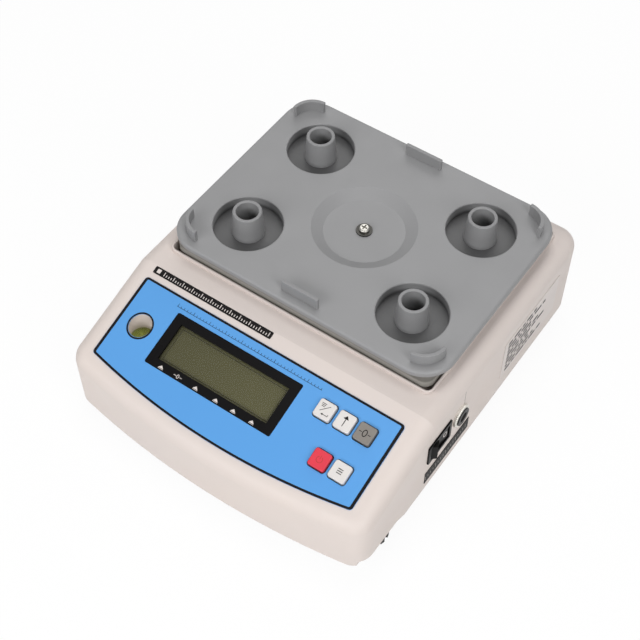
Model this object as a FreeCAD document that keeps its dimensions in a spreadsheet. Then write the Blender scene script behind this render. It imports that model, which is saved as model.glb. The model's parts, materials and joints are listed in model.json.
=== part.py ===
"""Benchtop density meter: a load-cell balance with a sloping console and a pan of four hollow posts.

The part's frame, in millimetres: X to the operator's right, Y to the back, +Z up. The origin is on the
bench, under the middle of the case. Pieces of the console are drawn in the slope's own frame: its y runs up
the slope from the upper edge of the console's face, and its z is square to the slope.
"""

import FreeCAD, Part
import math
import os
import re
import Sketcher
from FreeCAD import Placement, Rotation, Vector

SIZES = [
    # the case
    ("case_width", 180.0),
    ("case_length", 213.5),
    ("front_bow", 8.7),
    ("corner_round", 11.0),
    ("edge_round", 8.0),
    ("deck_height", 62.0),
    ("console_length", 68.0),
    ("slope_angle", 17.3),
    ("wall", 2.5),
    ("foot_gap", 8.0),
    ("relief_height", 3.5),
    ("relief_length", 39.0),
    ("relief_run", 7.0),
    # the rimmed recess in the deck
    ("rim_side_margin", 10.5),
    ("rim_back_margin", 9.85),
    ("rim_front_margin", 11.35),
    ("rim_wall", 1.2),
    ("rim_height", 2.0),
    ("rim_corner", 4.0),
    ("rim_round", 0.5),
    ("recess_depth", 8.0),
    ("collar_radius", 14.0),
    ("collar_bore", 11.0),
    ("collar_height", 2.5),
    # the base plate and what holds it
    ("base_recess", 1.0),
    ("base_thickness", 2.5),
    ("base_fit", 0.3),
    ("back_screw_side", 28.0),
    ("back_screw_inset", 18.75),
    ("front_screw_side", 40.0),
    ("front_screw_inset", 14.75),
    ("screw_post_radius", 4.5),
    ("case_screw_radius", 1.5),
    ("case_screw_grip", 10.0),
    ("case_screw_head", 2.8),
    ("case_screw_head_height", 1.9),
    ("screw_clearance", 0.05),
    ("tap_depth", 1.5),
    # the pan
    ("pan_side_overhang", 2.5),
    ("pan_end_overhang", 0.35),
    ("pan_corner", 17.5),
    ("pan_thickness", 3.0),
    ("pan_edge_round", 1.4),
    ("pan_gap", 7.0),
    ("skirt_gap", 1.2),
    ("skirt_wall", 2.0),
    ("skirt_overlap", 2.0),
    ("skirt_corner", 6.0),
    ("well_side_margin", 32.0),
    ("well_end_margin", 30.1),
    ("well_radius", 18.2),
    ("well_depth", 6.0),
    ("well_wall", 2.2),
    ("post_height", 9.5),
    ("post_top_radius", 7.55),
    ("post_base_radius", 8.6),
    ("post_bore", 5.8),
    ("dish_radius", 27.5),
    ("dish_floor_radius", 21.2),
    ("dish_depth", 3.3),
    ("dish_wall", 2.4),
    ("mouth_round", 0.7),
    ("post_round", 0.5),
    ("tab_height", 6.5),
    ("tab_wall", 2.0),
    ("tab_inset", 5.0),
    ("tab_length", 22.0),
    ("tab_seat", 1.0),
    ("tab_corner", 0.6),
    ("tab_round", 0.4),
    ("boss_radius", 8.5),
    ("boss_depth", 14.0),
    # the spindle and the screws of the pan
    ("spindle_radius", 4.0),
    ("spindle_flange_radius", 10.5),
    ("spindle_flange_height", 3.0),
    ("spindle_socket", 8.0),
    ("spindle_fit", 0.05),
    ("spindle_screw_spread", 7.2),
    ("spindle_screw_radius", 1.5),
    ("spindle_screw_grip", 8.0),
    ("spindle_screw_head", 2.8),
    ("spindle_screw_head_height", 2.0),
    ("pan_screw_radius", 1.5),
    ("pan_screw_grip", 8.0),
    ("pan_screw_head", 2.7),
    ("pan_screw_head_height", 2.0),
    ("pan_screw_crown", 2.1),
    ("washer_radius", 4.3),
    ("washer_height", 0.8),
    ("cross_width", 0.8),
    ("cross_length", 3.4),
    ("cross_depth", 1.2),
    # the load cell
    ("cell_length", 90.0),
    ("cell_width", 22.0),
    ("cell_height", 16.0),
    ("cell_free_end", 10.0),
    ("cell_bore", 6.0),
    ("cell_bore_pitch", 18.0),
    ("cell_slot_height", 6.0),
    ("spacer_height", 12.5),
    ("spacer_length", 22.0),
    ("cell_screw_radius", 2.0),
    ("cell_screw_inset", 5.0),
    ("cell_screw_pitch", 12.0),
    ("cell_screw_grip", 8.0),
    ("cell_screw_head", 3.5),
    ("cell_screw_head_height", 2.0),
    ("gauge_length", 8.0),
    ("gauge_width", 12.0),
    ("gauge_height", 1.2),
    ("stop_radius", 2.5),
    ("stop_spread", 6.0),
    ("stop_gap", 0.8),
    ("stop_nut_radius", 4.6),
    ("stop_nut_height", 3.0),
    # the console's face
    ("panel_setback", 7.85),
    ("panel_side_margin", 11.4),
    ("panel_front_margin", 15.872),
    ("panel_bow", 7.9),
    ("panel_corner", 2.0),
    ("panel_thickness", 0.5),
    ("panel_fit", 0.1),
    ("opening_fit", 0.3),
    # the display
    ("bezel_from_level", 7.0),
    ("bezel_from_keys", 11.8),
    ("bezel_top_margin", 8.0),
    ("bezel_foot_margin", 9.5),
    ("bezel_corner", 1.0),
    ("bezel_edge_round", 0.3),
    ("sheet_corner", 0.5),
    ("view_side_margin", 5.15),
    ("view_end_margin", 4.75),
    ("window_lap", 1.0),
    ("window_depth", 0.8),
    ("window_thickness", 1.0),
    ("lcd_lap", 1.9),
    ("lcd_thickness", 2.8),
    ("lcd_fit", 0.2),
    ("connector_width", 2.0),
    ("board_depth", 10.0),
    ("board_thickness", 1.6),
    ("display_board_lap", 2.0),
    ("display_board_from_keys", 6.7),
    ("display_board_upper", 1.2),
    ("display_board_foot_margin", 2.5),
    ("board_post_from_bezel", 22.0),
    ("board_post_from_keys", 7.4),
    ("board_post_inset", 3.0),
    ("board_post_radius", 2.4),
    # the keys
    ("key_side_inset", 25.7),
    ("key_spacing", 0.65),
    ("key_upper", 13.4),
    ("key_foot_margin", 12.6),
    ("key_size", 9.2),
    ("key_corner", 1.2),
    ("key_edge_round", 0.5),
    ("key_proud", 2.0),
    ("key_gap", 0.3),
    ("key_lip", 0.8),
    ("key_flange_height", 1.0),
    ("key_flange_gap", 0.1),
    ("key_stem_radius", 1.7),
    ("tact_size", 6.0),
    ("tact_height", 3.5),
    ("stem_fit", 0.1),
    ("tact_bore_depth", 1.4),
    ("tact_entry", 0.4),
    # the bubble level
    ("level_side_inset", 24.8),
    ("level_down", 23.9),
    ("level_bore", 6.2),
    ("level_depth", 9.2),
    ("level_tube_wall", 2.0),
    ("vial_fit", 0.1),
    ("vial_height", 9.0),
    ("vial_wall", 0.7),
    ("bubble_radius", 1.9),
    ("bubble_height", 0.8),
    ("retainer_lap", 1.5),
    ("retainer_height", 2.0),
    # the power switch and the power inlet on the right wall
    ("inlet_height", 38.5),
    ("switch_from_back", 139.5),
    ("switch_bezel_length", 21.0),
    ("switch_bezel_height", 15.0),
    ("switch_bezel_proud", 0.9),
    ("switch_bezel_corner", 1.2),
    ("switch_body_length", 18.8),
    ("switch_body_height", 12.8),
    ("switch_body_depth", 22.0),
    ("switch_wall", 1.0),
    ("inlet_fit", 0.1),
    ("rocker_well_depth", 9.0),
    ("rocker_gap", 0.2),
    ("rocker_pivot_depth", 3.1),
    ("rocker_pin_radius", 1.2),
    ("rocker_pin_length", 0.6),
    ("rocker_waist", 2.9),
    ("rocker_tip", 5.2),
    ("rocker_root", 2.5),
    ("rocker_tilt", 11.0),
    ("blade_length", 8.0),
    ("blade_height", 4.8),
    ("blade_thickness", 0.8),
    ("blade_pitch", 10.0),
    ("inlet_pitch", 19.0),
    ("jack_radius", 5.0),
    ("jack_bore", 2.85),
    ("jack_bore_depth", 9.0),
    ("jack_length", 15.0),
    ("jack_proud", 2.4),
    ("jack_flange_radius", 7.5),
    ("jack_flange_height", 1.5),
    ("jack_nut_radius", 6.5),
    ("jack_nut_height", 1.8),
    ("jack_pin_radius", 1.05),
    ("jack_pin_length", 7.5),
    # the labels
    ("label_thickness", 0.3),
    ("title_side_inset", 12.5),
    ("title_length", 74.2),
    ("title_from_crease", 0.55),
    ("title_height", 3.9),
    ("strip_length", 41.0),
    ("strip_below_inlet", 15.5),
    ("strip_height", 9.0),
    ("rating_from_back", 22.0),
    ("rating_length", 56.0),
    ("rating_below_deck", 14.0),
    ("rating_height", 29.0),
    # the main board
    ("main_board_side_gap", 16.0),
    ("main_board_width", 56.0),
    ("main_board_from_back", 30.75),
    ("main_board_length", 78.0),
    ("standoff_height", 6.0),
    ("standoff_radius", 3.0),
    ("standoff_inset", 4.0),
    ("board_screw_radius", 1.25),
    ("board_screw_grip", 4.5),
    ("board_screw_head", 2.3),
    ("board_screw_head_height", 1.6),
    ("chip_height", 1.6),
    ("processor_along", 46.0),
    ("processor_size", 14.0),
    ("driver_across", 13.0),
    ("driver_along", 34.0),
    ("driver_width", 8.0),
    ("driver_length", 11.0),
    ("regulator_from_right", 12.0),
    ("regulator_along", 34.0),
    ("regulator_size", 8.0),
    ("capacitor_radius", 4.0),
    ("capacitor_height", 11.0),
    ("capacitor_from_right", 5.0),
    ("capacitor_along", 17.0),
    ("capacitor_pitch", 10.0),
    ("header_height", 8.0),
    ("header_length", 7.0),
    ("buzzer_radius", 6.0),
    ("buzzer_height", 8.5),
    ("buzzer_across", 14.0),
    ("buzzer_from_back", 14.0),
    # the cables inside the case
    ("header_inset", 3.0),
    ("ribbon_header_inset", 16.0),
    ("ribbon_header_width", 16.0),
    ("display_header_down", 10.0),
    ("power_header_gap", 4.0),
    ("power_header_width", 12.0),
    ("cell_header_across", 10.5),
    ("cell_header_width", 6.0),
    ("ribbon_width", 14.0),
    ("ribbon_thickness", 0.9),
    ("ribbon_bend", 6.0),
    ("cell_cable_radius", 1.0),
    ("cell_cable_bend", 6.0),
    ("cell_cable_lift", 1.5),
    ("cell_cable_reach", 14.0),
    ("lead_radius", 0.8),
    ("lead_bend", 4.0),
    ("lead_spread", 2.5),
    ("jack_tag_spread", 2.3),
    ("link_reach", 8.0),
    # the levelling feet
    ("foot_side_inset", 10.6),
    ("front_foot_inset", 31.5),
    ("back_foot_inset", 16.75),
    ("foot_pad_radius", 8.0),
    ("foot_pad_height", 3.0),
    ("foot_pad_socket", 1.5),
    ("foot_knob_radius", 9.6),
    ("foot_knob_height", 4.4),
    ("foot_knob_gap", 0.1),
    ("foot_scallop_radius", 1.3),
    ("foot_stud_radius", 3.0),
    ("foot_stud_reach", 10.0),
    ("foot_thread_gap", 0.05),
    ("insert_radius", 4.5),
    ("insert_height", 11.0),
    ("insert_boss_radius", 7.5),
]
SIZE_NAMES = {name for name, _ in SIZES}

# Places that follow from the sizes, as formulas.
HALF_WIDTH = "(case_width / 2)"
BACK = "(case_length / 2)"
FRONT = "(-case_length / 2)"
CREASE_Y = f"({FRONT} + console_length)"
RIM_TOP = "(deck_height + rim_height)"
RIM_WIDTH = "(case_width - 2 * rim_side_margin)"
RIM_LENGTH = "(case_length - console_length - rim_back_margin - rim_front_margin)"
RECESS_FLOOR = f"({RIM_TOP} - recess_depth)"
PAN_Y = f"({BACK} - rim_back_margin - {RIM_LENGTH} / 2)"
PAN_WIDTH = f"({RIM_WIDTH} + 2 * pan_side_overhang)"
PAN_LENGTH = f"({RIM_LENGTH} + 2 * pan_end_overhang)"
PAN_UNDER = f"({RIM_TOP} + pan_gap)"
PAN_TOP = f"({PAN_UNDER} + pan_thickness)"
DISH_FLOOR = f"({PAN_TOP} - dish_depth)"
PANEL_Y = f"({CREASE_Y} - panel_setback * cos(slope_angle))"
PANEL_Z = "(deck_height - panel_setback * sin(slope_angle))"
PANEL_HALF = f"({HALF_WIDTH} - panel_side_margin)"
PANEL_SIDE = "(console_length / cos(slope_angle) - panel_setback - panel_front_margin)"
LEVEL_X = f"(level_side_inset - {HALF_WIDTH})"
KEY_FLANGE = "(key_size + 2 * key_lip)"
KEY_PITCH = f"({KEY_FLANGE} + key_spacing)"
KEY_THIRD = f"({HALF_WIDTH} - key_side_inset)"
KEY_FIRST = f"({KEY_THIRD} - 2 * {KEY_PITCH})"
KEY_LOWER = f"({PANEL_SIDE} - key_foot_margin)"
BEZEL_LEFT = f"({LEVEL_X} + level_bore + bezel_from_level)"
BEZEL_RIGHT = f"({KEY_FIRST} - key_size / 2 - bezel_from_keys)"
BEZEL_X = f"(({BEZEL_LEFT} + {BEZEL_RIGHT}) / 2)"
BEZEL_WIDTH = f"({BEZEL_RIGHT} - {BEZEL_LEFT})"
BEZEL_LENGTH = f"({PANEL_SIDE} - bezel_top_margin - bezel_foot_margin)"
BEZEL_DOWN = f"(bezel_top_margin + {BEZEL_LENGTH} / 2)"
VIEW_WIDTH = f"({BEZEL_WIDTH} - 2 * view_side_margin)"
VIEW_LENGTH = f"({BEZEL_LENGTH} - 2 * view_end_margin)"
DISPLAY_BOARD_LEFT = f"({BEZEL_LEFT} - display_board_lap)"
DISPLAY_BOARD_RIGHT = f"({KEY_THIRD} + display_board_from_keys)"
DISPLAY_BOARD_LOWER = f"({PANEL_SIDE} - display_board_foot_margin)"
BASE_LOW = "(foot_gap + base_recess)"
BASE_TOP = f"({BASE_LOW} + base_thickness)"
CELL_LOW = f"({BASE_TOP} + spacer_height)"
CELL_TOP = f"({CELL_LOW} + cell_height)"
CELL_BACK = f"({PAN_Y} + cell_free_end)"
CELL_FRONT = f"({CELL_BACK} - cell_length)"
BOARD_UNDER = f"({BASE_TOP} + standoff_height)"
BOARD_TOP = f"({BOARD_UNDER} + board_thickness)"
BOARD_FRONT = f"({BACK} - main_board_from_back - main_board_length)"
BOARD_LEFT = f"({HALF_WIDTH} - main_board_side_gap - main_board_width)"
RIBBON_X = f"({BOARD_LEFT} + main_board_width / 2)"
RIBBON_HEADER_Y = f"({BOARD_FRONT} + ribbon_header_inset)"
POWER_HEADER_Y = f"({BOARD_FRONT} + header_inset)"
CELL_CABLE_Y = f"({POWER_HEADER_Y} - cell_cable_reach)"
RIBBON_Z = f"({PANEL_Z} - (board_depth + board_thickness + header_height / 2) * cos(slope_angle))"
WINDOW_LOW = "(-window_depth - window_thickness)"
LCD_TOP = f"({WINDOW_LOW} - lcd_fit)"
SWITCH_Y = f"({BACK} - switch_from_back)"
JACK_Y = f"({SWITCH_Y} + inlet_pitch)"
JACK_REAR = f"({HALF_WIDTH} + jack_proud - jack_length)"
BLADE_X = f"({HALF_WIDTH} - switch_body_depth - blade_length)"
POWER_HEADER_X = f"({BLADE_X} - power_header_gap)"
CELL_HEADER_X = f"({BOARD_LEFT} + cell_header_across)"
ROCKER_X = f"({HALF_WIDTH} - rocker_pivot_depth)"
ROCKER_RADIUS = "(switch_body_length / 2 - switch_wall - rocker_gap)"
ROCKER_HALF_HEIGHT = "(switch_body_height / 2 - switch_wall - rocker_gap)"
LEVEL_Y = f"({PANEL_Y} - level_down * cos(slope_angle))"
VIAL_TOP = f"({PANEL_Z} - level_down * sin(slope_angle) - level_depth)"
VIAL_LOW = f"({VIAL_TOP} - vial_height)"

SIDES = (-1, 1)
SCALLOPS = 12
NEAR = 1e-4
AXES = {"x": Vector(1, 0, 0), "y": Vector(0, 1, 0), "z": Vector(0, 0, 1)}
PLANES = {"z": "XY_Plane", "x": "YZ_Plane"}

doc = FreeCAD.newDocument("DensityMeter")
sheet = doc.addObject("Spreadsheet::Sheet", "Sizes")
pieces = []


def fill_sheet():
    """Write each driving size in a cell of its own, under its name."""
    for row, (name, value) in enumerate(SIZES, start=1):
        sheet.set(f"A{row}", name)
        sheet.set(f"B{row}", str(value))
        sheet.setAlias(f"B{row}", name)
    doc.recompute()


def formula(text):
    """Point each size that a formula names at its cell."""
    return re.sub(r"[a-z_]+", lambda word: f"Sizes.{word[0]}" if word[0] in SIZE_NAMES else word[0], text)


def bind(item, **formulas):
    for prop, text in formulas.items():
        item.setExpression(prop, formula(text))
    return item


def place(item, x="0", y="0", z="0"):
    for axis, text in zip("xyz", (x, y, z)):
        item.setExpression(f"Placement.Base.{axis}", formula(text))
    return item


def on_slope(item):
    """Put an item that is drawn in the slope's frame on the console."""
    item.Placement = Placement(Vector(), Rotation(AXES["x"], 1))
    item.setExpression("Placement.Rotation.Angle", formula("slope_angle"))
    return place(item, "0", PANEL_Y, PANEL_Z)


def keep(item):
    """Hand an item in as a sub-part, under its own name."""
    item.Label = item.Name
    pieces.append(item)
    return item


# Primitives and booleans


def block(name, low, size):
    """A box from its low corner."""
    item = bind(doc.addObject("Part::Box", name), Length=size[0], Width=size[1], Height=size[2])
    return place(item, *low)


def centred_low(centre, size):
    """The low corner of something centred on a point in plan."""
    return f"({centre[0]}) - ({size[0]}) / 2", f"({centre[1]}) - ({size[1]}) / 2", centre[2]


def centred_block(name, centre, size):
    return block(name, centred_low(centre, size), size)


def rod(name, start, radius, length, along="z"):
    """A cylinder from its start point, along an axis."""
    item = doc.addObject("Part::Cylinder", name)
    item.Placement = Placement(Vector(), Rotation(AXES["z"], AXES[along]))
    return place(bind(item, Radius=radius, Height=length), *start)


def cone(name, start, low_radius, high_radius, length):
    item = bind(doc.addObject("Part::Cone", name), Radius1=low_radius, Radius2=high_radius, Height=length)
    return place(item, *start)


def join(name, *items):
    item = doc.addObject("Part::MultiFuse", name)
    item.Shapes = list(items)
    return item


def cut(name, base, *tools):
    item = doc.addObject("Part::Cut", name)
    item.Base = base
    item.Tool = tools[0] if len(tools) == 1 else join(f"{name}_tools", *tools)
    return item


def common(name, base, tool):
    item = doc.addObject("Part::Common", name)
    item.Base = base
    item.Tool = tool
    return item


def group(name, *items):
    """Separate solids that share one node."""
    item = doc.addObject("Part::Compound", name)
    item.Links = list(items)
    return item


def tube(name, start, outer, inner, length, along="z"):
    hole = rod(f"{name}_hole", start, inner, length, along)
    return cut(name, rod(f"{name}_outside", start, outer, length, along), hole)


def screw(name, place_in_plan, seat, radius, grip, head_radius, head_height, upward):
    """A pan-head screw with its head against a seat and its shank upward or downward from there."""
    x, y = place_in_plan
    shank_low, head_low = (seat, f"{seat} - {head_height}") if upward else (f"{seat} - ({grip})", seat)
    shank = rod(f"{name}_shank", (x, y, shank_low), radius, grip)
    return join(name, shank, rod(f"{name}_head", (x, y, head_low), head_radius, head_height))


# Sketches and bodies


def new_sketch(owner, name, normal="z", lift="0"):
    """A sketch square to an axis, on one of a body's own origin planes."""
    sketch = owner.newObject("Sketcher::SketchObject", name)
    plane = next(item for item in owner.Origin.OriginFeatures if item.Role == PLANES[normal])
    sketch.AttachmentSupport = [(plane, "")]
    sketch.MapMode = "FlatFace"
    sketch.setExpression("AttachmentOffset.Base.z", formula(lift))
    return sketch


def drive(sketch, kind, *where, text):
    """A dimension whose value is a formula, starting from what the rough drawing measures."""
    if kind == "Radius":
        rough = sketch.Geometry[where[0]].Radius
    else:
        rough = getattr(sketch.getPoint(*where), kind[-1].lower())
    index = sketch.addConstraint(Sketcher.Constraint(kind, *where, rough))
    sketch.setExpression(f"Constraints[{index}]", formula(text))


def draw_polygon(sketch, corners):
    """A closed outline through corners given as pairs of formulas."""
    count = len(corners)
    turn = 2 * math.pi / count
    rough = [Vector(10 * math.cos(turn * i), 10 * math.sin(turn * i), 0) for i in range(count)]
    for i in range(count):
        sketch.addGeometry(Part.LineSegment(rough[i], rough[(i + 1) % count]), False)
    for i, (x, y) in enumerate(corners):
        sketch.addConstraint(Sketcher.Constraint("Coincident", i, 2, (i + 1) % count, 1))
        drive(sketch, "DistanceX", i, 1, text=x)
        drive(sketch, "DistanceY", i, 1, text=y)


def draw_bowed(sketch, half, back, corner, bow):
    """A symmetrical outline that is square at the back and bows from corner to corner at the front."""
    rough_half, rough_back, rough_front, rough_bow = 90, 100, -90, 8
    left_front, left_back = Vector(-rough_half, rough_front, 0), Vector(-rough_half, rough_back, 0)
    right_back, right_front = Vector(rough_half, rough_back, 0), Vector(rough_half, rough_front, 0)
    sketch.addGeometry(Part.LineSegment(left_front, left_back), False)
    sketch.addGeometry(Part.LineSegment(left_back, right_back), False)
    sketch.addGeometry(Part.LineSegment(right_back, right_front), False)
    sketch.addGeometry(Part.Arc(left_front, Vector(0, rough_front - rough_bow, 0), right_front), False)
    for meeting in ((0, 2, 1, 1), (1, 2, 2, 1), (3, 1, 0, 1), (3, 2, 2, 2)):
        sketch.addConstraint(Sketcher.Constraint("Coincident", *meeting))
    left = f"-({half})"
    ends = ((0, 1, left, corner), (0, 2, left, back), (2, 1, half, back), (2, 2, half, corner))
    for line, end, x, y in ends:
        drive(sketch, "DistanceX", line, end, text=x)
        drive(sketch, "DistanceY", line, end, text=y)
    drive(sketch, "Radius", 3, text=f"(({half}) ^ 2 + ({bow}) ^ 2) / (2 * ({bow}))")


def pad(owner, sketch, length, both_ways=False):
    item = owner.newObject("PartDesign::Pad", f"{sketch.Name}_pad")
    item.Profile = sketch
    item.SideType = "Symmetric" if both_ways else "One side"
    return bind(item, Length=length)


def round_edges(owner, radius, wanted):
    """Round the edges that a test picks from a body's last feature."""
    doc.recompute()
    base = owner.Tip
    item = owner.newObject("PartDesign::Fillet", f"{base.Name}_rounded")
    item.Base = (base, [f"Edge{i}" for i, edge in enumerate(base.Shape.Edges, start=1) if wanted(edge)])
    return bind(item, Radius=radius)


def is_along(axis):
    """A test for edges that run along an axis."""
    return lambda edge: abs(edge.tangentAt(edge.FirstParameter).dot(AXES[axis])) > 0.999


def is_highest(shape):
    """A test for the edges that lie at a shape's top."""
    top = max(corner.Z for corner in shape.Vertexes)
    return lambda edge: all(abs(corner.Z - top) < NEAR for corner in edge.Vertexes)


def is_crosswise_at(y, z):
    """A test for the edge along X at a place seen from the side."""
    return lambda edge: all(abs(end.Y - y) < NEAR and abs(end.Z - z) < NEAR for end in edge.Vertexes)


def around_top(shape, axis="z"):
    """A test for the outline of the faces that look along an axis, without the creases between them."""
    tops = [face for face in shape.Faces if face.normalAt(0, 0).dot(AXES[axis]) > 0.5]
    return lambda edge: sum(edge.isSame(other) for face in tops for other in face.Edges) == 1


def softened(name, base, *rounds):
    """A body made from another object's shape, with edges rounded: pairs of a radius and a test."""
    owner = doc.addObject("PartDesign::Body", name)
    owner.BaseFeature = base
    for radius, wanted in rounds:
        round_edges(owner, radius, wanted)
    return owner


def slab(name, low, size, corner, edge_radius=None, normal="z"):
    """A plate square to an axis, with rounded corners and, where asked, a rounded far edge.

    The low corner and the size give the two ways across the plate first, and then the way through it.
    """
    owner = doc.addObject("PartDesign::Body", name)
    sketch = new_sketch(owner, f"{name}_plan", normal, low[2])
    across = (low[0], f"({low[0]}) + ({size[0]})")
    along = (low[1], f"({low[1]}) + ({size[1]})")
    draw_polygon(sketch, [(across[i], along[j]) for i, j in ((0, 0), (1, 0), (1, 1), (0, 1))])
    pad(owner, sketch, size[2])
    round_edges(owner, corner, is_along(normal))
    if edge_radius:
        doc.recompute()
        round_edges(owner, edge_radius, around_top(owner.Tip.Shape, normal))
    return owner


def centred_slab(name, centre, size, corner, edge_radius=None, normal="z"):
    return slab(name, centred_low(centre, size), size, corner, edge_radius, normal)


# Where repeated things are, in plan or on the slope


def case_screw_places():
    """Each case screw's place: two under the deck's back and two at the front."""
    back_x, front_x = f"({HALF_WIDTH} - back_screw_side)", f"({HALF_WIDTH} - front_screw_side)"
    back = [(f"{side} * {back_x}", f"{BACK} - back_screw_inset") for side in SIDES]
    return back + [(f"{side} * {front_x}", f"{FRONT} + front_screw_inset") for side in SIDES]


def board_post_places():
    across = (f"{BEZEL_LEFT} + board_post_from_bezel", f"{KEY_FIRST} - board_post_from_keys")
    along = ("-display_board_upper - board_post_inset", f"board_post_inset - {DISPLAY_BOARD_LOWER}")
    return [(x, y) for x in across for y in along]


def standoff_places():
    left, right = f"{BOARD_LEFT} + standoff_inset", f"{BOARD_LEFT} + main_board_width - standoff_inset"
    front = f"{BOARD_FRONT} + standoff_inset"
    back = f"{BOARD_FRONT} + main_board_length - standoff_inset"
    return [(x, y) for x in (left, right) for y in (front, back)]


def foot_places():
    rows = {"front": f"{FRONT} + front_foot_inset", "back": f"{BACK} - back_foot_inset"}
    columns = {"left": f"foot_side_inset - {HALF_WIDTH}", "right": f"{HALF_WIDTH} - foot_side_inset"}
    return {f"{row}_{column}": (x, y) for row, y in rows.items() for column, x in columns.items()}


def key_places():
    first, second, third = KEY_FIRST, f"{KEY_FIRST} + {KEY_PITCH}", KEY_THIRD
    return {
        "function_key": (first, "-key_upper"),
        "up_key": (second, "-key_upper"),
        "zero_key": (third, "-key_upper"),
        "power_key": (second, f"-{KEY_LOWER}"),
        "mode_key": (third, f"-{KEY_LOWER}"),
    }


def well_places():
    across = [f"{side} * ({PAN_WIDTH} / 2 - well_side_margin)" for side in SIDES]
    along = [f"{PAN_Y} + {side} * ({PAN_LENGTH} / 2 - well_end_margin)" for side in SIDES]
    return [(x, y) for x in across for y in along]


def cell_screw_places():
    first = f"{CELL_FRONT} + cell_screw_inset"
    return [("0", first), ("0", f"{first} + cell_screw_pitch")]


def spindle_screw_places():
    return [("0", f"{PAN_Y} + {side} * spindle_screw_spread") for side in SIDES]


def rods_at(name, places, low, radius, length):
    return [rod(f"{name}_{i}", (x, y, low), radius, length) for i, (x, y) in enumerate(places)]


def screws_at(name, places, seat, sizes, upward):
    screws = []
    for i, at in enumerate(places):
        screws.append(screw(f"{name}_{i}", at, seat, *sizes, upward))
    return screws


# The case


def case_plan(name, inset, low, height):
    """A prism of the case's plan, drawn in by an inset all round."""
    owner = doc.addObject("PartDesign::Body", name)
    plan = new_sketch(owner, f"{name}_plan", lift=low)
    half = f"{HALF_WIDTH} - ({inset})"
    back, front = f"{BACK} - ({inset})", f"{FRONT} + front_bow + ({inset})"
    draw_bowed(plan, half, back, front, "front_bow")
    pad(owner, plan, height)
    round_edges(owner, f"corner_round - ({inset})", is_along("z"))
    return owner


def case_block(name, inset, low):
    """The case's outer form, drawn in by an inset all round, from a low height up."""
    owner = case_plan(name, inset, low, f"deck_height - ({inset}) - ({low})")
    top, far, over = f"deck_height - ({inset})", f"{FRONT} - wall", "deck_height + wall"
    crease = f"{CREASE_Y} + ({inset}) * tan(slope_angle / 2)"
    foot = f"{top} - ({crease} - ({far})) * tan(slope_angle)"
    side = new_sketch(owner, f"{name}_side", "x")
    draw_polygon(side, [(crease, top), (far, foot), (far, over), (crease, over)])
    slope = owner.newObject("PartDesign::Pocket", f"{name}_slope")
    slope.Profile = side
    slope.Type = "ThroughAll"
    slope.SideType = "Symmetric"
    doc.recompute()
    round_edges(owner, f"edge_round - ({inset})", around_top(slope.Shape))
    return owner


def case_ribs():
    """The screw posts, the display board's posts and the level's tube, up into the case's skin."""
    height = f"deck_height - {BASE_TOP}"
    ribs = rods_at("screw_post", case_screw_places(), BASE_TOP, "screw_post_radius", height)
    tube_low, tube_height = (LEVEL_X, LEVEL_Y, VIAL_LOW), f"deck_height - {VIAL_LOW}"
    ribs.append(rod("level_tube", tube_low, "level_bore + level_tube_wall", tube_height))
    size = ("board_post_radius", "board_depth")
    posts = rods_at("board_post", board_post_places(), "-board_depth", *size)
    ribs.append(on_slope(join("board_posts", *posts)))
    return common("case_ribs", join("rough_ribs", *ribs), case_block("rib_limit", "wall / 2", "0"))


def console_openings(name, low, height, fit):
    """Prisms for the display and the keys, square to the slope."""
    size = (f"{BEZEL_WIDTH} + 2 * {fit}", f"{BEZEL_LENGTH} + 2 * {fit}", height)
    middle = (BEZEL_X, f"-{BEZEL_DOWN}", low)
    items = [centred_slab(f"{name}_display", middle, size, "bezel_corner")]
    hole = "key_size + 2 * key_gap"
    size = (hole, hole, height)
    for key, at in key_places().items():
        items.append(centred_slab(f"{name}_{key}", (*at, low), size, "key_corner + key_gap"))
    return on_slope(join(name, *items))


def side_reliefs():
    """What lifts each side wall's lower edge, from the front corner back past the foot."""
    owner = doc.addObject("PartDesign::Body", "relief_profile")
    side = new_sketch(owner, "relief_side", "x")
    far, end, rise = f"{FRONT} - wall", f"{FRONT} + relief_length", "foot_gap + relief_height"
    run_end = f"{end} + relief_run"
    corners = [(far, "0"), (run_end, "0"), (run_end, "foot_gap"), (end, rise), (far, rise)]
    draw_polygon(side, corners)
    pad(owner, side, "case_width + 2 * wall", both_ways=True)
    middle = ("case_width - 3 * wall", "case_length + 3 * wall", rise)
    return cut("side_reliefs", owner, centred_block("relief_middle", ("0", "0", "0"), middle))


def recess_prism(name, inset, low, height):
    """A prism of the recess's plan, drawn in by an inset all round."""
    size = (f"{RIM_WIDTH} - 2 * ({inset})", f"{RIM_LENGTH} - 2 * ({inset})", height)
    return centred_slab(name, ("0", PAN_Y, low), size, f"rim_corner - ({inset})")


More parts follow.
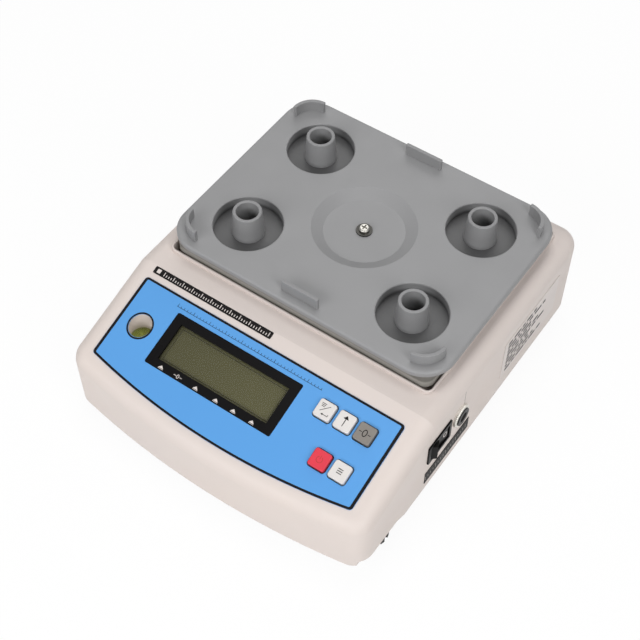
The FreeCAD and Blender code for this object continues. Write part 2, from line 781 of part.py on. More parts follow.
def upper_housing():
    outside, inside = case_block("case_outside", "0", "foot_gap"), case_block("case_inside", "wall", "0")
    shell = cut("case_shell", outside, inside)
    tub_low = f"({RECESS_FLOOR} - wall)"
    tub = recess_prism("recess_tub", "0", tub_low, f"{RIM_TOP} - {tub_low}")
    space = recess_prism("recess_space", "rim_wall", RECESS_FLOOR, "deck_height")
    hollow = cut("hollow_case", join("full_case", shell, tub, case_ribs()), space)
    collar = rod("collar", ("0", PAN_Y, tub_low), "collar_radius", "wall + collar_height")
    jack_start = (f"{HALF_WIDTH} - 2 * wall", JACK_Y, "inlet_height")
    level_low = (LEVEL_X, LEVEL_Y, VIAL_LOW)
    tools = [
        rod("collar_hole", ("0", PAN_Y, tub_low), "collar_bore", "wall + collar_height"),
        rod("level_hole", level_low, "level_bore", f"deck_height - {VIAL_LOW}"),
        console_openings("console_openings", "-2 * wall", "3 * wall", "opening_fit"),
        switch_hole(),
        rod("jack_hole", jack_start, "jack_radius + inlet_fit", "3 * wall", "x"),
        side_reliefs(),
    ]
    bore, depth = "case_screw_radius + screw_clearance", "case_screw_grip + tap_depth"
    tools += rods_at("case_screw_hole", case_screw_places(), BASE_TOP, bore, depth)
    board_holes = board_screw_rods("housing", board_post_places(), "-board_depth")
    tools.append(on_slope(join("board_screw_holes", *board_holes)))
    rough = cut("rough_housing", join("collared_case", hollow, collar), *tools)
    doc.recompute()
    keep(softened("upper_housing", rough, ("rim_round", is_highest(rough.Shape))))


def board_screw_rods(name, places, low):
    """Holes that take the shanks of board screws, upward from a height."""
    bore, depth = "board_screw_radius + screw_clearance", "board_screw_grip + tap_depth"
    return rods_at(f"{name}_screw_hole", places, low, bore, depth)


def base_plate():
    plate = case_plan("base_outline", "wall + base_fit", BASE_LOW, "base_thickness")
    bosses = rods_at("insert_boss", foot_places().values(), BASE_LOW, "insert_boss_radius", "insert_height")
    standoffs = rods_at("standoff", standoff_places(), BASE_TOP, "standoff_radius", "standoff_height")
    tools = rods_at("insert_hole", foot_places().values(), BASE_LOW, "insert_radius", "insert_height")
    bore = "case_screw_radius + screw_clearance"
    tools += rods_at("base_screw_hole", case_screw_places(), BASE_LOW, bore, "base_thickness")
    bore = "cell_screw_radius + screw_clearance"
    tools += rods_at("base_cell_screw_hole", cell_screw_places(), BASE_LOW, bore, "base_thickness")
    hole_low = f"{BOARD_UNDER} - board_screw_grip - tap_depth"
    tools += board_screw_rods("standoff", standoff_places(), hole_low)
    tools += rods_at("stop_hole", stop_places(), BASE_LOW, "stop_radius", "base_thickness")
    keep(cut("base_plate", join("bossed_base", plate, *bosses, *standoffs), *tools))


def base_screws():
    """The screws up through the base plate: four into the housing and two into the load cell."""
    grip = "base_thickness + case_screw_grip"
    sizes = ("case_screw_radius", grip, "case_screw_head", "case_screw_head_height")
    screws = screws_at("case_screw", case_screw_places(), BASE_LOW, sizes, True)
    grip = "base_thickness + spacer_height + cell_screw_grip"
    sizes = ("cell_screw_radius", grip, "cell_screw_head", "cell_screw_head_height")
    screws += screws_at("load_cell_screw", cell_screw_places(), BASE_LOW, sizes, True)
    keep(group("base_screws", *screws))


# The pan


def quarter_wall(name, centre, low, outer, inner, height, turn):
    """A quarter of an upright tube, turned to its corner."""
    sector = doc.addObject("Part::Cylinder", f"{name}_outside")
    sector.Angle = 90
    sector.Placement = Placement(Vector(), Rotation(AXES["z"], turn))
    place(bind(sector, Radius=outer, Height=height), *centre, low)
    return cut(name, sector, rod(f"{name}_inside", (*centre, low), inner, height))


def tab_forms(name, height, edge_radius=None):
    """Four quarter walls round the pan's corners and two straight ones in the middle of its long sides.

    They rise from the floor of their slots in the pan, and their upper edges are rounded where asked.
    """
    outer, low = "pan_corner - tab_inset", f"{PAN_TOP} - tab_seat"
    corner_x, corner_y = f"({PAN_WIDTH} / 2 - pan_corner)", f"({PAN_LENGTH} / 2 - pan_corner)"
    forms = []
    for turn, (i, j) in zip((0, 90, 180, 270), ((1, 1), (-1, 1), (-1, -1), (1, -1))):
        centre = (f"{i} * {corner_x}", f"{PAN_Y} + {j} * {corner_y}")
        form = quarter_wall(f"{name}_{turn}", centre, low, outer, f"{outer} - tab_wall", height, turn)
        if edge_radius:
            doc.recompute()
            form = softened(f"{name}_{turn}_soft", form, (edge_radius, is_highest(form.Shape)))
        forms.append(form)
    for side in SIDES:
        middle = ("0", f"{PAN_Y} + {side} * ({PAN_LENGTH} / 2 - tab_inset - tab_wall / 2)", low)
        size = ("tab_length", "tab_wall", height)
        forms.append(centred_slab(f"{name}_middle_{side + 1}", middle, size, "tab_corner", edge_radius))
    return forms


def pan_posts():
    """A hollow post in the middle of each well, open down to the well's floor."""
    posts = []
    low, height = f"{PAN_TOP} - well_depth", "well_depth + post_height"
    for i, (x, y) in enumerate(well_places()):
        blank = cone(f"post_blank_{i}", (x, y, low), "post_base_radius", "post_top_radius", height)
        rough = cut(f"rough_post_{i}", blank, rod(f"post_bore_{i}", (x, y, low), "post_bore", height))
        doc.recompute()
        posts.append(softened(f"post_{i}", rough, ("post_round", is_highest(rough.Shape))))
    return posts


def pan_uprights():
    """What stands on the pan: the posts on the wells' floors, and the tabs in their slots."""
    tabs = tab_forms("tab", "tab_seat + tab_height", "tab_round")
    keep(group("pan_uprights", *pan_posts(), *tabs))


def pan_skirt():
    """The wall that hangs from the pan into the rimmed recess."""
    low, height = f"{RIM_TOP} - skirt_overlap", "skirt_overlap + pan_gap"
    width = f"{RIM_WIDTH} - 2 * rim_wall - 2 * skirt_gap"
    length = f"{RIM_LENGTH} - 2 * rim_wall - 2 * skirt_gap"
    middle = ("0", PAN_Y, low)
    outside = centred_slab("skirt_outside", middle, (width, length, height), "skirt_corner")
    size = (f"{width} - 2 * skirt_wall", f"{length} - 2 * skirt_wall", height)
    inside = centred_slab("skirt_inside", middle, size, "skirt_corner - skirt_wall")
    keep(cut("pan_skirt", outside, inside))


def pan_support():
    """The pan's plate with its wells, dish and boss, and a slot for each tab."""
    size = (PAN_WIDTH, PAN_LENGTH, "pan_thickness")
    plate = centred_slab("plate", ("0", PAN_Y, PAN_UNDER), size, "pan_corner", "pan_edge_round")
    well_low = f"{PAN_TOP} - well_depth - well_wall"
    cup_height = "well_depth + well_wall - pan_thickness"
    cups = rods_at("well_cup", well_places(), well_low, "well_radius + well_wall", cup_height)
    dish_low = f"{DISH_FLOOR} - dish_wall"
    radii = ("dish_floor_radius + dish_wall", "dish_radius + dish_wall")
    cups.append(cone("dish_cup", ("0", PAN_Y, dish_low), *radii, f"{PAN_UNDER} - ({dish_low})"))
    boss_low = f"{PAN_TOP} - boss_depth"
    cups.append(rod("boss", ("0", PAN_Y, boss_low), "boss_radius", f"{DISH_FLOOR} - ({boss_low})"))
    tools = rods_at("well", well_places(), f"{PAN_TOP} - well_depth", "well_radius", "well_depth")
    tools.append(cone("dish", ("0", PAN_Y, DISH_FLOOR), "dish_floor_radius", "dish_radius", "dish_depth"))
    socket, bore = "spindle_radius + spindle_fit", "pan_screw_radius + screw_clearance"
    tools.append(rod("spindle_hole", ("0", PAN_Y, boss_low), socket, "spindle_socket"))
    tools.append(rod("pan_screw_hole", ("0", PAN_Y, boss_low), bore, "boss_depth"))
    tools += tab_forms("tab_slot", "tab_seat")
    rough = cut("rough_pan", join("full_pan", plate, *cups), *tools)
    doc.recompute()
    at_top = is_highest(rough.Shape)
    mouths = lambda edge: at_top(edge) and len(edge.Vertexes) == 1
    keep(softened("pan_support", rough, ("mouth_round", mouths)))


def platform_spindle():
    low = ("0", PAN_Y, CELL_TOP)
    flange = rod("spindle_flange", low, "spindle_flange_radius", "spindle_flange_height")
    height = f"{PAN_TOP} - boss_depth + spindle_socket - {CELL_TOP}"
    column = rod("spindle_column", low, "spindle_radius", height)
    bore, depth = "pan_screw_radius + screw_clearance", "pan_screw_grip + tap_depth"
    tap_low = f"{PAN_TOP} - boss_depth + spindle_socket - ({depth})"
    tools = [rod("spindle_tap", ("0", PAN_Y, tap_low), bore, depth)]
    bore = "spindle_screw_radius + screw_clearance"
    tools += rods_at("flange_hole", spindle_screw_places(), CELL_TOP, bore, "spindle_flange_height")
    keep(cut("platform_spindle", join("solid_spindle", flange, column), *tools))


def spindle_screws():
    grip = "spindle_flange_height + spindle_screw_grip"
    sizes = ("spindle_screw_radius", grip, "spindle_screw_head", "spindle_screw_head_height")
    seat = f"{CELL_TOP} + spindle_flange_height"
    keep(group("spindle_screws", *screws_at("spindle_screw", spindle_screw_places(), seat, sizes, False)))


def platform_screw():
    """The cross-head screw with its washer, down through the dish into the spindle."""
    top = f"{DISH_FLOOR} + washer_height + pan_screw_head_height"
    shank_low = f"{PAN_TOP} - boss_depth + spindle_socket - pan_screw_grip"
    grip = f"{DISH_FLOOR} - ({shank_low})"
    shank = rod("pan_screw_shank", ("0", PAN_Y, shank_low), "pan_screw_radius", grip)
    washer = rod("pan_washer", ("0", PAN_Y, DISH_FLOOR), "washer_radius", "washer_height")
    head_low, half = f"{DISH_FLOOR} + washer_height", "pan_screw_head_height / 2"
    head = rod("pan_screw_head_side", ("0", PAN_Y, head_low), "pan_screw_head", half)
    crown_low = ("0", PAN_Y, f"{head_low} + {half}")
    crown = cone("pan_screw_crown", crown_low, "pan_screw_head", "pan_screw_crown", half)
    cross = ("0", PAN_Y, f"{top} - cross_depth")
    arms = [
        centred_block("cross_across", cross, ("cross_length", "cross_width", "cross_depth")),
        centred_block("cross_along", cross, ("cross_width", "cross_length", "cross_depth")),
    ]
    keep(cut("platform_screw", join("blank_screw", shank, washer, head, crown), *arms))


# The load cell


def load_cell():
    size = ("cell_width", "cell_length", "cell_height")
    beam = block("cell_beam", ("-cell_width / 2", CELL_FRONT, CELL_LOW), size)
    middle, axis = f"({CELL_FRONT} + cell_length / 2)", f"({CELL_LOW} + cell_height / 2)"
    tools = []
    for side in SIDES:
        start = ("-cell_width / 2", f"{middle} + {side} * cell_bore_pitch / 2", axis)
        tools.append(rod(f"cell_bore_{side + 1}", start, "cell_bore", "cell_width", "x"))
    low = ("-cell_width / 2", f"{middle} - cell_bore_pitch / 2", f"{axis} - cell_slot_height / 2")
    tools.append(block("cell_slot", low, ("cell_width", "cell_bore_pitch", "cell_slot_height")))
    bore, depth = "cell_screw_radius + screw_clearance", "cell_screw_grip + tap_depth"
    tools += rods_at("cell_tap", cell_screw_places(), CELL_LOW, bore, depth)
    bore, depth = "spindle_screw_radius + screw_clearance", "spindle_screw_grip + tap_depth"
    tools += rods_at("spindle_tap_hole", spindle_screw_places(), f"{CELL_TOP} - ({depth})", bore, depth)
    keep(cut("load_cell", beam, *tools))


def load_cell_spacer():
    size = ("cell_width", "spacer_length", "spacer_height")
    solid = block("spacer_block", ("-cell_width / 2", CELL_FRONT, BASE_TOP), size)
    bore = "cell_screw_radius + screw_clearance"
    holes = rods_at("spacer_hole", cell_screw_places(), BASE_TOP, bore, "spacer_height")
    keep(cut("load_cell_spacer", solid, *holes))


def gauge_covers():
    """Rubber patches over the strain gauges, above and below each thin web."""
    patches = []
    for side in SIDES:
        middle = f"{CELL_FRONT} + cell_length / 2 + {side} * cell_bore_pitch / 2"
        for where, low in (("top", CELL_TOP), ("under", f"{CELL_LOW} - gauge_height")):
            size = ("gauge_width", "gauge_length", "gauge_height")
            patches.append(centred_block(f"gauge_cover_{where}_{side + 1}", ("0", middle, low), size))
    keep(group("gauge_covers", *patches))


def stop_places():
    return [(f"{side} * stop_spread", PAN_Y) for side in SIDES]


def overload_stops():
    """Studs that catch the load cell's free end, each with its lock nut on the base plate."""
    stops = []
    height = f"{CELL_LOW} - stop_gap - {BASE_LOW}"
    for i, (x, y) in enumerate(stop_places()):
        stud = rod(f"stop_stud_{i}", (x, y, BASE_LOW), "stop_radius", height)
        nut = rod(f"stop_nut_{i}", (x, y, BASE_TOP), "stop_nut_radius", "stop_nut_height")
        stops.append(join(f"overload_stop_{i}", stud, nut))
    keep(group("overload_stops", *stops))


# The console


def panel_overlay():
    """The printed face, with the display's, the keys' and the level's openings."""
    owner = doc.addObject("PartDesign::Body", "panel_sheet")
    outline = new_sketch(owner, "panel_outline")
    draw_bowed(outline, PANEL_HALF, "0", f"-{PANEL_SIDE}", "panel_bow")
    pad(owner, outline, "panel_thickness")
    round_edges(owner, "panel_corner", is_along("z"))
    openings = console_openings("panel_openings", "-wall", "2 * wall", "panel_fit")
    level = rod("panel_level_hole", (LEVEL_X, LEVEL_Y, VIAL_TOP), "level_bore", "deck_height")
    keep(cut("panel_overlay", on_slope(owner), openings, level))


def display_bezel():
    """A frame that stands on the display board, with steps inside for the window and the glass."""
    middle = (BEZEL_X, f"-{BEZEL_DOWN}")
    low, height = "-board_depth", "board_depth + panel_thickness"
    frame_size = (BEZEL_WIDTH, BEZEL_LENGTH, height)
    frame = centred_slab("bezel_block", (*middle, low), frame_size, "bezel_corner", "bezel_edge_round")
    view = centred_block("bezel_view", (*middle, low), (VIEW_WIDTH, VIEW_LENGTH, height))
    width, length = f"{VIEW_WIDTH} + 2 * window_lap + lcd_fit", f"{VIEW_LENGTH} + 2 * window_lap + lcd_fit"
    window = centred_block("bezel_window_seat", (*middle, WINDOW_LOW), (width, length, "window_thickness"))
    width, length = f"{VIEW_WIDTH} + 2 * lcd_lap + lcd_fit", f"{VIEW_LENGTH} + 2 * lcd_lap + lcd_fit"
    size = (width, length, f"board_depth + {WINDOW_LOW}")
    glass = centred_block("bezel_glass_seat", (*middle, low), size)
    keep(on_slope(cut("display_bezel", frame, view, window, glass)))


def display_window():
    size = (f"{VIEW_WIDTH} + 2 * window_lap", f"{VIEW_LENGTH} + 2 * window_lap", "window_thickness")
    middle = (BEZEL_X, f"-{BEZEL_DOWN}", WINDOW_LOW)
    keep(on_slope(centred_slab("display_window", middle, size, "sheet_corner")))


def lcd_glass():
    size = (f"{VIEW_WIDTH} + 2 * lcd_lap", f"{VIEW_LENGTH} + 2 * lcd_lap", "lcd_thickness")
    middle = (BEZEL_X, f"-{BEZEL_DOWN}", f"{LCD_TOP} - lcd_thickness")
    keep(on_slope(centred_slab("lcd_glass", middle, size, "sheet_corner")))


def lcd_connectors():
    """Two conductive rubber strips between the board and the glass."""
    strips = []
    for side in SIDES:
        y = f"-{BEZEL_DOWN} + {side} * ({VIEW_LENGTH} / 2 + lcd_lap - connector_width)"
        size = (VIEW_WIDTH, "connector_width", f"board_depth + {LCD_TOP} - lcd_thickness")
        strips.append(centred_block(f"lcd_connector_{side + 1}", (BEZEL_X, y, "-board_depth"), size))
    keep(on_slope(group("lcd_connectors", *strips)))


def display_board():
    low = "-board_depth - board_thickness"
    width = f"{DISPLAY_BOARD_RIGHT} - {DISPLAY_BOARD_LEFT}"
    length = f"{DISPLAY_BOARD_LOWER} - display_board_upper"
    corner = (DISPLAY_BOARD_LEFT, f"-{DISPLAY_BOARD_LOWER}", low)
    blank = block("display_board_blank", corner, (width, length, "board_thickness"))
    holes = board_screw_rods("display_board", board_post_places(), low)
    keep(on_slope(cut("display_board", blank, *holes)))


def board_screws():
    """Four screws that hold each circuit board."""
    grip = "board_thickness + board_screw_grip"
    sizes = ("board_screw_radius", grip, "board_screw_head", "board_screw_head_height")
    seat = "(-board_depth - board_thickness)"
    upper = screws_at("display_screw", board_post_places(), seat, sizes, True)
    lower = screws_at("main_screw", standoff_places(), BOARD_TOP, sizes, False)
    keep(group("board_screws", on_slope(group("display_screws", *upper)), *lower))


def keys():
    """Each key: a cap with a flange under the console's skin and a stem that works its switch."""
    flange_low = "(-wall - key_flange_gap - key_flange_height)"
    stem_low = "(-board_depth + tact_height - tact_entry)"
    cap_size = ("key_size", "key_size", f"panel_thickness + key_proud - {flange_low}")
    flange_size = (KEY_FLANGE, KEY_FLANGE, "key_flange_height")
    stem_height = f"{flange_low} - {stem_low}"
    for name, at in key_places().items():
        cap = centred_slab(f"{name}_cap", (*at, flange_low), cap_size, "key_corner", "key_edge_round")
        flange = centred_slab(f"{name}_flange", (*at, flange_low), flange_size, "key_corner")
        stem = rod(f"{name}_stem", (*at, stem_low), "key_stem_radius", stem_height)
        keep(on_slope(join(name, cap, flange, stem)))


def tact_switches():
    """A small square switch under each key, with a well that guides the key's stem."""
    switches = []
    size = ("tact_size", "tact_size", "tact_height")
    for name, at in key_places().items():
        case = centred_block(f"{name}_tact_case", (*at, "-board_depth"), size)
        low = "-board_depth + tact_height - tact_bore_depth"
        well = rod(f"{name}_tact_bore", (*at, low), "key_stem_radius + stem_fit", "tact_bore_depth")
        switches.append(cut(f"{name}_tact", case, well))
    keep(on_slope(group("tact_switches", *switches)))


def bubble_level():
    """A clear vial with its fluid and bubble, and the disc that closes the tube under it."""
    radius = "(level_bore - vial_fit)"
    at = (LEVEL_X, LEVEL_Y)
    cavity = ((*at, f"{VIAL_LOW} + vial_wall"), f"{radius} - vial_wall", "vial_height - 2 * vial_wall")
    outside = rod("vial_outside", (*at, VIAL_LOW), radius, "vial_height")
    keep(cut("level_vial", outside, rod("vial_cavity", *cavity)))
    bubble_low = f"{VIAL_TOP} - vial_wall - bubble_height"
    bubble = keep(rod("level_bubble", (*at, bubble_low), "bubble_radius", "bubble_height"))
    keep(cut("level_fluid", rod("fluid_blank", *cavity), bubble))
    retainer_low = (*at, f"{VIAL_LOW} - retainer_height")
    keep(rod("level_retainer", retainer_low, "level_bore + retainer_lap", "retainer_height"))


# The power switch, the power inlet and the labels


def switch_hole():
    length, height = "(switch_body_length + 2 * inlet_fit)", "(switch_body_height + 2 * inlet_fit)"
    low = (f"{HALF_WIDTH} - 2 * wall", f"{SWITCH_Y} - {length} / 2", f"inlet_height - {height} / 2")
    return block("switch_hole", low, ("3 * wall", length, height))


def switch_body():
    """The rocker's housing: a bezel on the wall, and a box behind it that is open to the outside."""
    size = ("switch_bezel_length", "switch_bezel_height", "switch_bezel_proud")
    centre = (SWITCH_Y, "inlet_height", HALF_WIDTH)
    bezel = centred_slab("switch_bezel", centre, size, "switch_bezel_corner", "switch_bezel_proud / 2", "x")
    box_y, box_z = f"{SWITCH_Y} - switch_body_length / 2", "inlet_height - switch_body_height / 2"
    low = (f"{HALF_WIDTH} - switch_body_depth", box_y, box_z)
    box = block("switch_box", low, ("switch_body_depth", "switch_body_length", "switch_body_height"))
    well_length = "(switch_body_length - 2 * switch_wall)"
    well_height = "(switch_body_height - 2 * switch_wall)"
    well_low = (
        f"{HALF_WIDTH} + switch_bezel_proud - rocker_well_depth",
        f"{SWITCH_Y} - {well_length} / 2",
        f"inlet_height - {well_height} / 2",
    )
    well = block("rocker_well", well_low, ("rocker_well_depth", well_length, well_height))
    half_pin = f"({ROCKER_HALF_HEIGHT} + rocker_pin_length + rocker_gap)"
    start = (ROCKER_X, SWITCH_Y, f"inlet_height - {half_pin}")
    pin_hole = rod("rocker_pin_hole", start, "rocker_pin_radius + screw_clearance", f"2 * {half_pin}")
    keep(cut("switch_body", join("solid_switch", bezel, box), well, pin_hole))


def rocker():
    """The rocker in its own frame, about its pin, and then in its place, with its front end out."""
    owner = doc.addObject("PartDesign::Body", "rocker_profile")
    profile = new_sketch(owner, "rocker_outline", lift=f"-{ROCKER_HALF_HEIGHT}")
    end, root = ROCKER_RADIUS, "-rocker_root"
    face = [("rocker_tip", f"-{end}"), ("rocker_waist", "0"), ("rocker_tip", end)]
    draw_polygon(profile, [(root, f"-{end}"), *face, (root, end)])
    pad(owner, profile, f"2 * {ROCKER_HALF_HEIGHT}")
    sweep = rod("rocker_sweep", ("0", "0", f"-{ROCKER_HALF_HEIGHT}"), end, f"2 * {ROCKER_HALF_HEIGHT}")
    half_pin = f"({ROCKER_HALF_HEIGHT} + rocker_pin_length)"
    pin = rod("rocker_pin", ("0", "0", f"-{half_pin}"), "rocker_pin_radius", f"2 * {half_pin}")
    item = join("rocker", common("rocker_block", owner, sweep), pin)
    item.Placement = Placement(Vector(), Rotation(AXES["z"], 1))
    item.setExpression("Placement.Rotation.Angle", formula("rocker_tilt"))
    keep(place(item, ROCKER_X, SWITCH_Y, "inlet_height"))


def switch_terminals():
    blades = []
    for side in SIDES:
        y = f"{SWITCH_Y} + {side} * blade_pitch / 2 - blade_thickness / 2"
        size = ("blade_length", "blade_thickness", "blade_height")
        blades.append(block(f"blade_{side + 1}", (BLADE_X, y, "inlet_height - blade_height / 2"), size))
    keep(group("switch_terminals", *blades))


def power_inlet():
    """A round inlet: its flange is behind the wall, its nut is in front, and its pin is down the bore."""
    at = (JACK_Y, "inlet_height")
    barrel = rod("jack_barrel", (JACK_REAR, *at), "jack_radius", "jack_length", "x")
    flange_x = f"{HALF_WIDTH} - wall - jack_flange_height"
    flange = rod("jack_flange", (flange_x, *at), "jack_flange_radius", "jack_flange_height", "x")
    bore_x = f"{HALF_WIDTH} + jack_proud - jack_bore_depth"
    bore = rod("jack_mouth", (bore_x, *at), "jack_bore", "jack_bore_depth", "x")
    keep(cut("jack_body", join("solid_jack", barrel, flange), bore))
    keep(rod("jack_pin", (bore_x, *at), "jack_pin_radius", "jack_pin_length", "x"))
    keep(tube("jack_nut", (HALF_WIDTH, *at), "jack_nut_radius", "jack_radius", "jack_nut_height", "x"))


def labels():
    """The strip above the console's face, and two labels on the right wall."""
    low = (f"title_side_inset - {HALF_WIDTH}", "panel_setback - title_from_crease - title_height", "0")
    size = ("title_length", "title_height", "label_thickness")
    keep(on_slope(slab("title_strip", low, size, "sheet_corner")))
    middle = f"({SWITCH_Y} + inlet_pitch / 2)"
    low = (HALF_WIDTH, f"{middle} - strip_length / 2", "inlet_height - strip_below_inlet - strip_height")
    keep(block("socket_strip", low, ("label_thickness", "strip_length", "strip_height")))
    rating_low = "deck_height - rating_below_deck - rating_height"
    low = (HALF_WIDTH, f"{BACK} - rating_from_back - rating_length", rating_low)
    keep(block("rating_plate", low, ("label_thickness", "rating_length", "rating_height")))


# The circuit boards' parts and the cables


def main_board():
    size = ("main_board_width", "main_board_length", "board_thickness")
    blank = block("main_board_blank", (BOARD_LEFT, BOARD_FRONT, BOARD_UNDER), size)
    keep(cut("main_board", blank, *board_screw_rods("main_board", standoff_places(), BOARD_UNDER)))


def on_board(x, y):
    """A place in plan on the main board, from its left front corner."""
    return f"{BOARD_LEFT} + {x}", f"{BOARD_FRONT} + {y}"


def board_parts():
    """Chips, capacitors and a buzzer, at their places on the main board."""
    chips = (
        ("processor", "main_board_width / 2", "processor_size", "processor_size"),
        ("driver", "driver_across", "driver_width", "driver_length"),
        ("regulator", "main_board_width - regulator_from_right", "regulator_size", "regulator_size"),
    )
    blocks = []
    for name, across, width, length in chips:
        at = on_board(across, f"{name}_along")
        blocks.append(centred_block(name, (*at, BOARD_TOP), (width, length, "chip_height")))
    keep(group("board_chips", *blocks))
    across = "main_board_width - capacitor_from_right"
    places = [on_board(across, f"capacitor_along + {i} * capacitor_pitch") for i in range(2)]
    cans = rods_at("capacitor", places, BOARD_TOP, "capacitor_radius", "capacitor_height")
    keep(group("board_capacitors", *cans))
    at = on_board("buzzer_across", "main_board_length - buzzer_from_back")
    keep(rod("buzzer", (*at, BOARD_TOP), "buzzer_radius", "buzzer_height"))


def header(name, x, y, width):
    """A cable header on the main board, from the middle of its front face."""
    low = (f"{x} - ({width}) / 2", y, BOARD_TOP)
    return block(name, low, (width, "header_length", "header_height"))


def headers_and_ribbon():
    """The headers of both boards, and the ribbon between them, which ends against their faces."""
    upper_low = "-board_depth - board_thickness - header_height"
    low = (f"{RIBBON_X} - ribbon_header_width / 2", "-display_header_down", upper_low)
    size = ("ribbon_header_width", "header_length", "header_height")
    upper_block = block("display_header_block", low, size)
    upper = on_slope(group("display_header", upper_block))
    lower = header("ribbon_header", RIBBON_X, RIBBON_HEADER_Y, "ribbon_header_width")
    power = header("power_header", POWER_HEADER_X, POWER_HEADER_Y, "power_header_width")
    cell = header("cell_header", CELL_HEADER_X, POWER_HEADER_Y, "cell_header_width")
    keep(group("board_connectors", upper, lower, power, cell))
    owner = doc.addObject("PartDesign::Body", "ribbon")
    side = new_sketch(owner, "ribbon_side", "x", RIBBON_X)
    y, low = f"({RIBBON_HEADER_Y} + header_length / 2)", f"{BOARD_TOP} + header_height"
    inner, outer = f"{y} - ribbon_thickness / 2", f"{y} + ribbon_thickness / 2"
    under, over = f"{RIBBON_Z} - ribbon_thickness / 2", f"{RIBBON_Z} + ribbon_thickness / 2"
    inside = [(PANEL_Y, under), (inner, under), (inner, low)]
    outside = [(outer, low), (outer, over), (PANEL_Y, over)]
    draw_polygon(side, inside + outside)
    pad(owner, side, "ribbon_width", both_ways=True)
    doc.recompute()
    box = owner.Shape.BoundBox
    thickness = sheet.get("ribbon_thickness")
    round_edges(owner, "ribbon_bend", is_crosswise_at(box.YMax - thickness, box.ZMax - thickness))
    round_edges(owner, "ribbon_bend + ribbon_thickness", is_crosswise_at(box.YMax, box.ZMax))
    keep(cut("ribbon_cable", owner, upper))


def wire(name, radius, bend, start, *moves):
    """A round wire of runs along the axes, joined by quarter bends, from a start point.

    A move is an axis, a direction of 1 or -1 along it, and the distance between corners.
    """
    corner = dict(zip("xyz", start))
    runs, bends = [], []
    for i, (axis, way, length) in enumerate(moves):
        before = bend if i > 0 else "0"
        after = bend if i < len(moves) - 1 else "0"
        low = dict(corner)
        low[axis] += f" + {before}" if way > 0 else f" - ({length}) + {after}"
        straight = f"{length} - {before} - {after}"
        runs.append(rod(f"{name}_run_{i}", tuple(low.values()), radius, straight, axis))
        corner[axis] = f"({corner[axis]} + {way} * ({length}))"
        if i < len(moves) - 1:
            next_axis, next_way, _ = moves[i + 1]
            centre = dict(corner)
            centre[axis] += f" - {way} * {bend}"
            centre[next_axis] += f" + {next_way} * {bend}"
            first, last = -next_way * AXES[next_axis], way * AXES[axis]
            bends.append(quarter_bend(f"{name}_bend_{i}", centre.values(), radius, bend, first, last))
    return join(name, *runs, *bends)


def quarter_bend(name, centre, radius, bend, first, last):
    """A quarter of a ring about a centre, from one direction to another."""
    item = bind(doc.addObject("Part::Torus", name), Radius1=bend, Radius2=radius)
    item.Angle3 = 90
    item.Placement = Placement(Vector(), Rotation(first, last, first.cross(last)))
    return place(item, *centre)


def cables():
    """The load cell's cable, and the leads from the switch and the inlet to the power header."""
    start = ("cell_width / 2", CELL_CABLE_Y, f"{CELL_LOW} + cell_cable_lift")
    across = ("x", 1, f"{CELL_HEADER_X} - cell_width / 2")
    along = ("y", 1, f"{POWER_HEADER_Y} - {CELL_CABLE_Y}")
    keep(wire("load_cell_cable", "cell_cable_radius", "cell_cable_bend", start, across, along))
    front_y, back_y = f"({SWITCH_Y} - blade_pitch / 2)", f"({SWITCH_Y} + blade_pitch / 2)"
    drop_z = f"({BOARD_TOP} + header_height / 2)"
    tag_y, tag_z = f"({JACK_Y} - jack_tag_spread)", "(inlet_height + jack_tag_spread)"
    front_x, back_x = f"({POWER_HEADER_X} - lead_spread)", f"({POWER_HEADER_X} + lead_spread)"
    to_switch = wire(
        "switch_lead", "lead_radius", "lead_bend", (BLADE_X, front_y, "inlet_height"),
        ("x", -1, f"{BLADE_X} - {front_x}"),
        ("z", -1, f"inlet_height - {drop_z}"),
        ("y", 1, f"{POWER_HEADER_Y} - {front_y}"),
    )
    to_inlet = wire(
        "inlet_lead", "lead_radius", "lead_bend", (JACK_REAR, tag_y, tag_z),
        ("x", -1, f"{JACK_REAR} - {back_x}"),
        ("z", -1, f"{tag_z} - {drop_z}"),
        ("y", 1, f"{POWER_HEADER_Y} - {tag_y}"),
    )
    link_y, link_z = f"({JACK_Y} + jack_tag_spread)", "(inlet_height - jack_tag_spread)"
    between = wire(
        "link_lead", "lead_radius", "lead_bend", (BLADE_X, back_y, link_z),
        ("x", -1, "link_reach"),
        ("y", 1, f"{link_y} - {back_y}"),
        ("x", 1, f"{JACK_REAR} - {BLADE_X} + link_reach"),
    )
    keep(group("power_leads", to_switch, to_inlet, between))


# The levelling feet


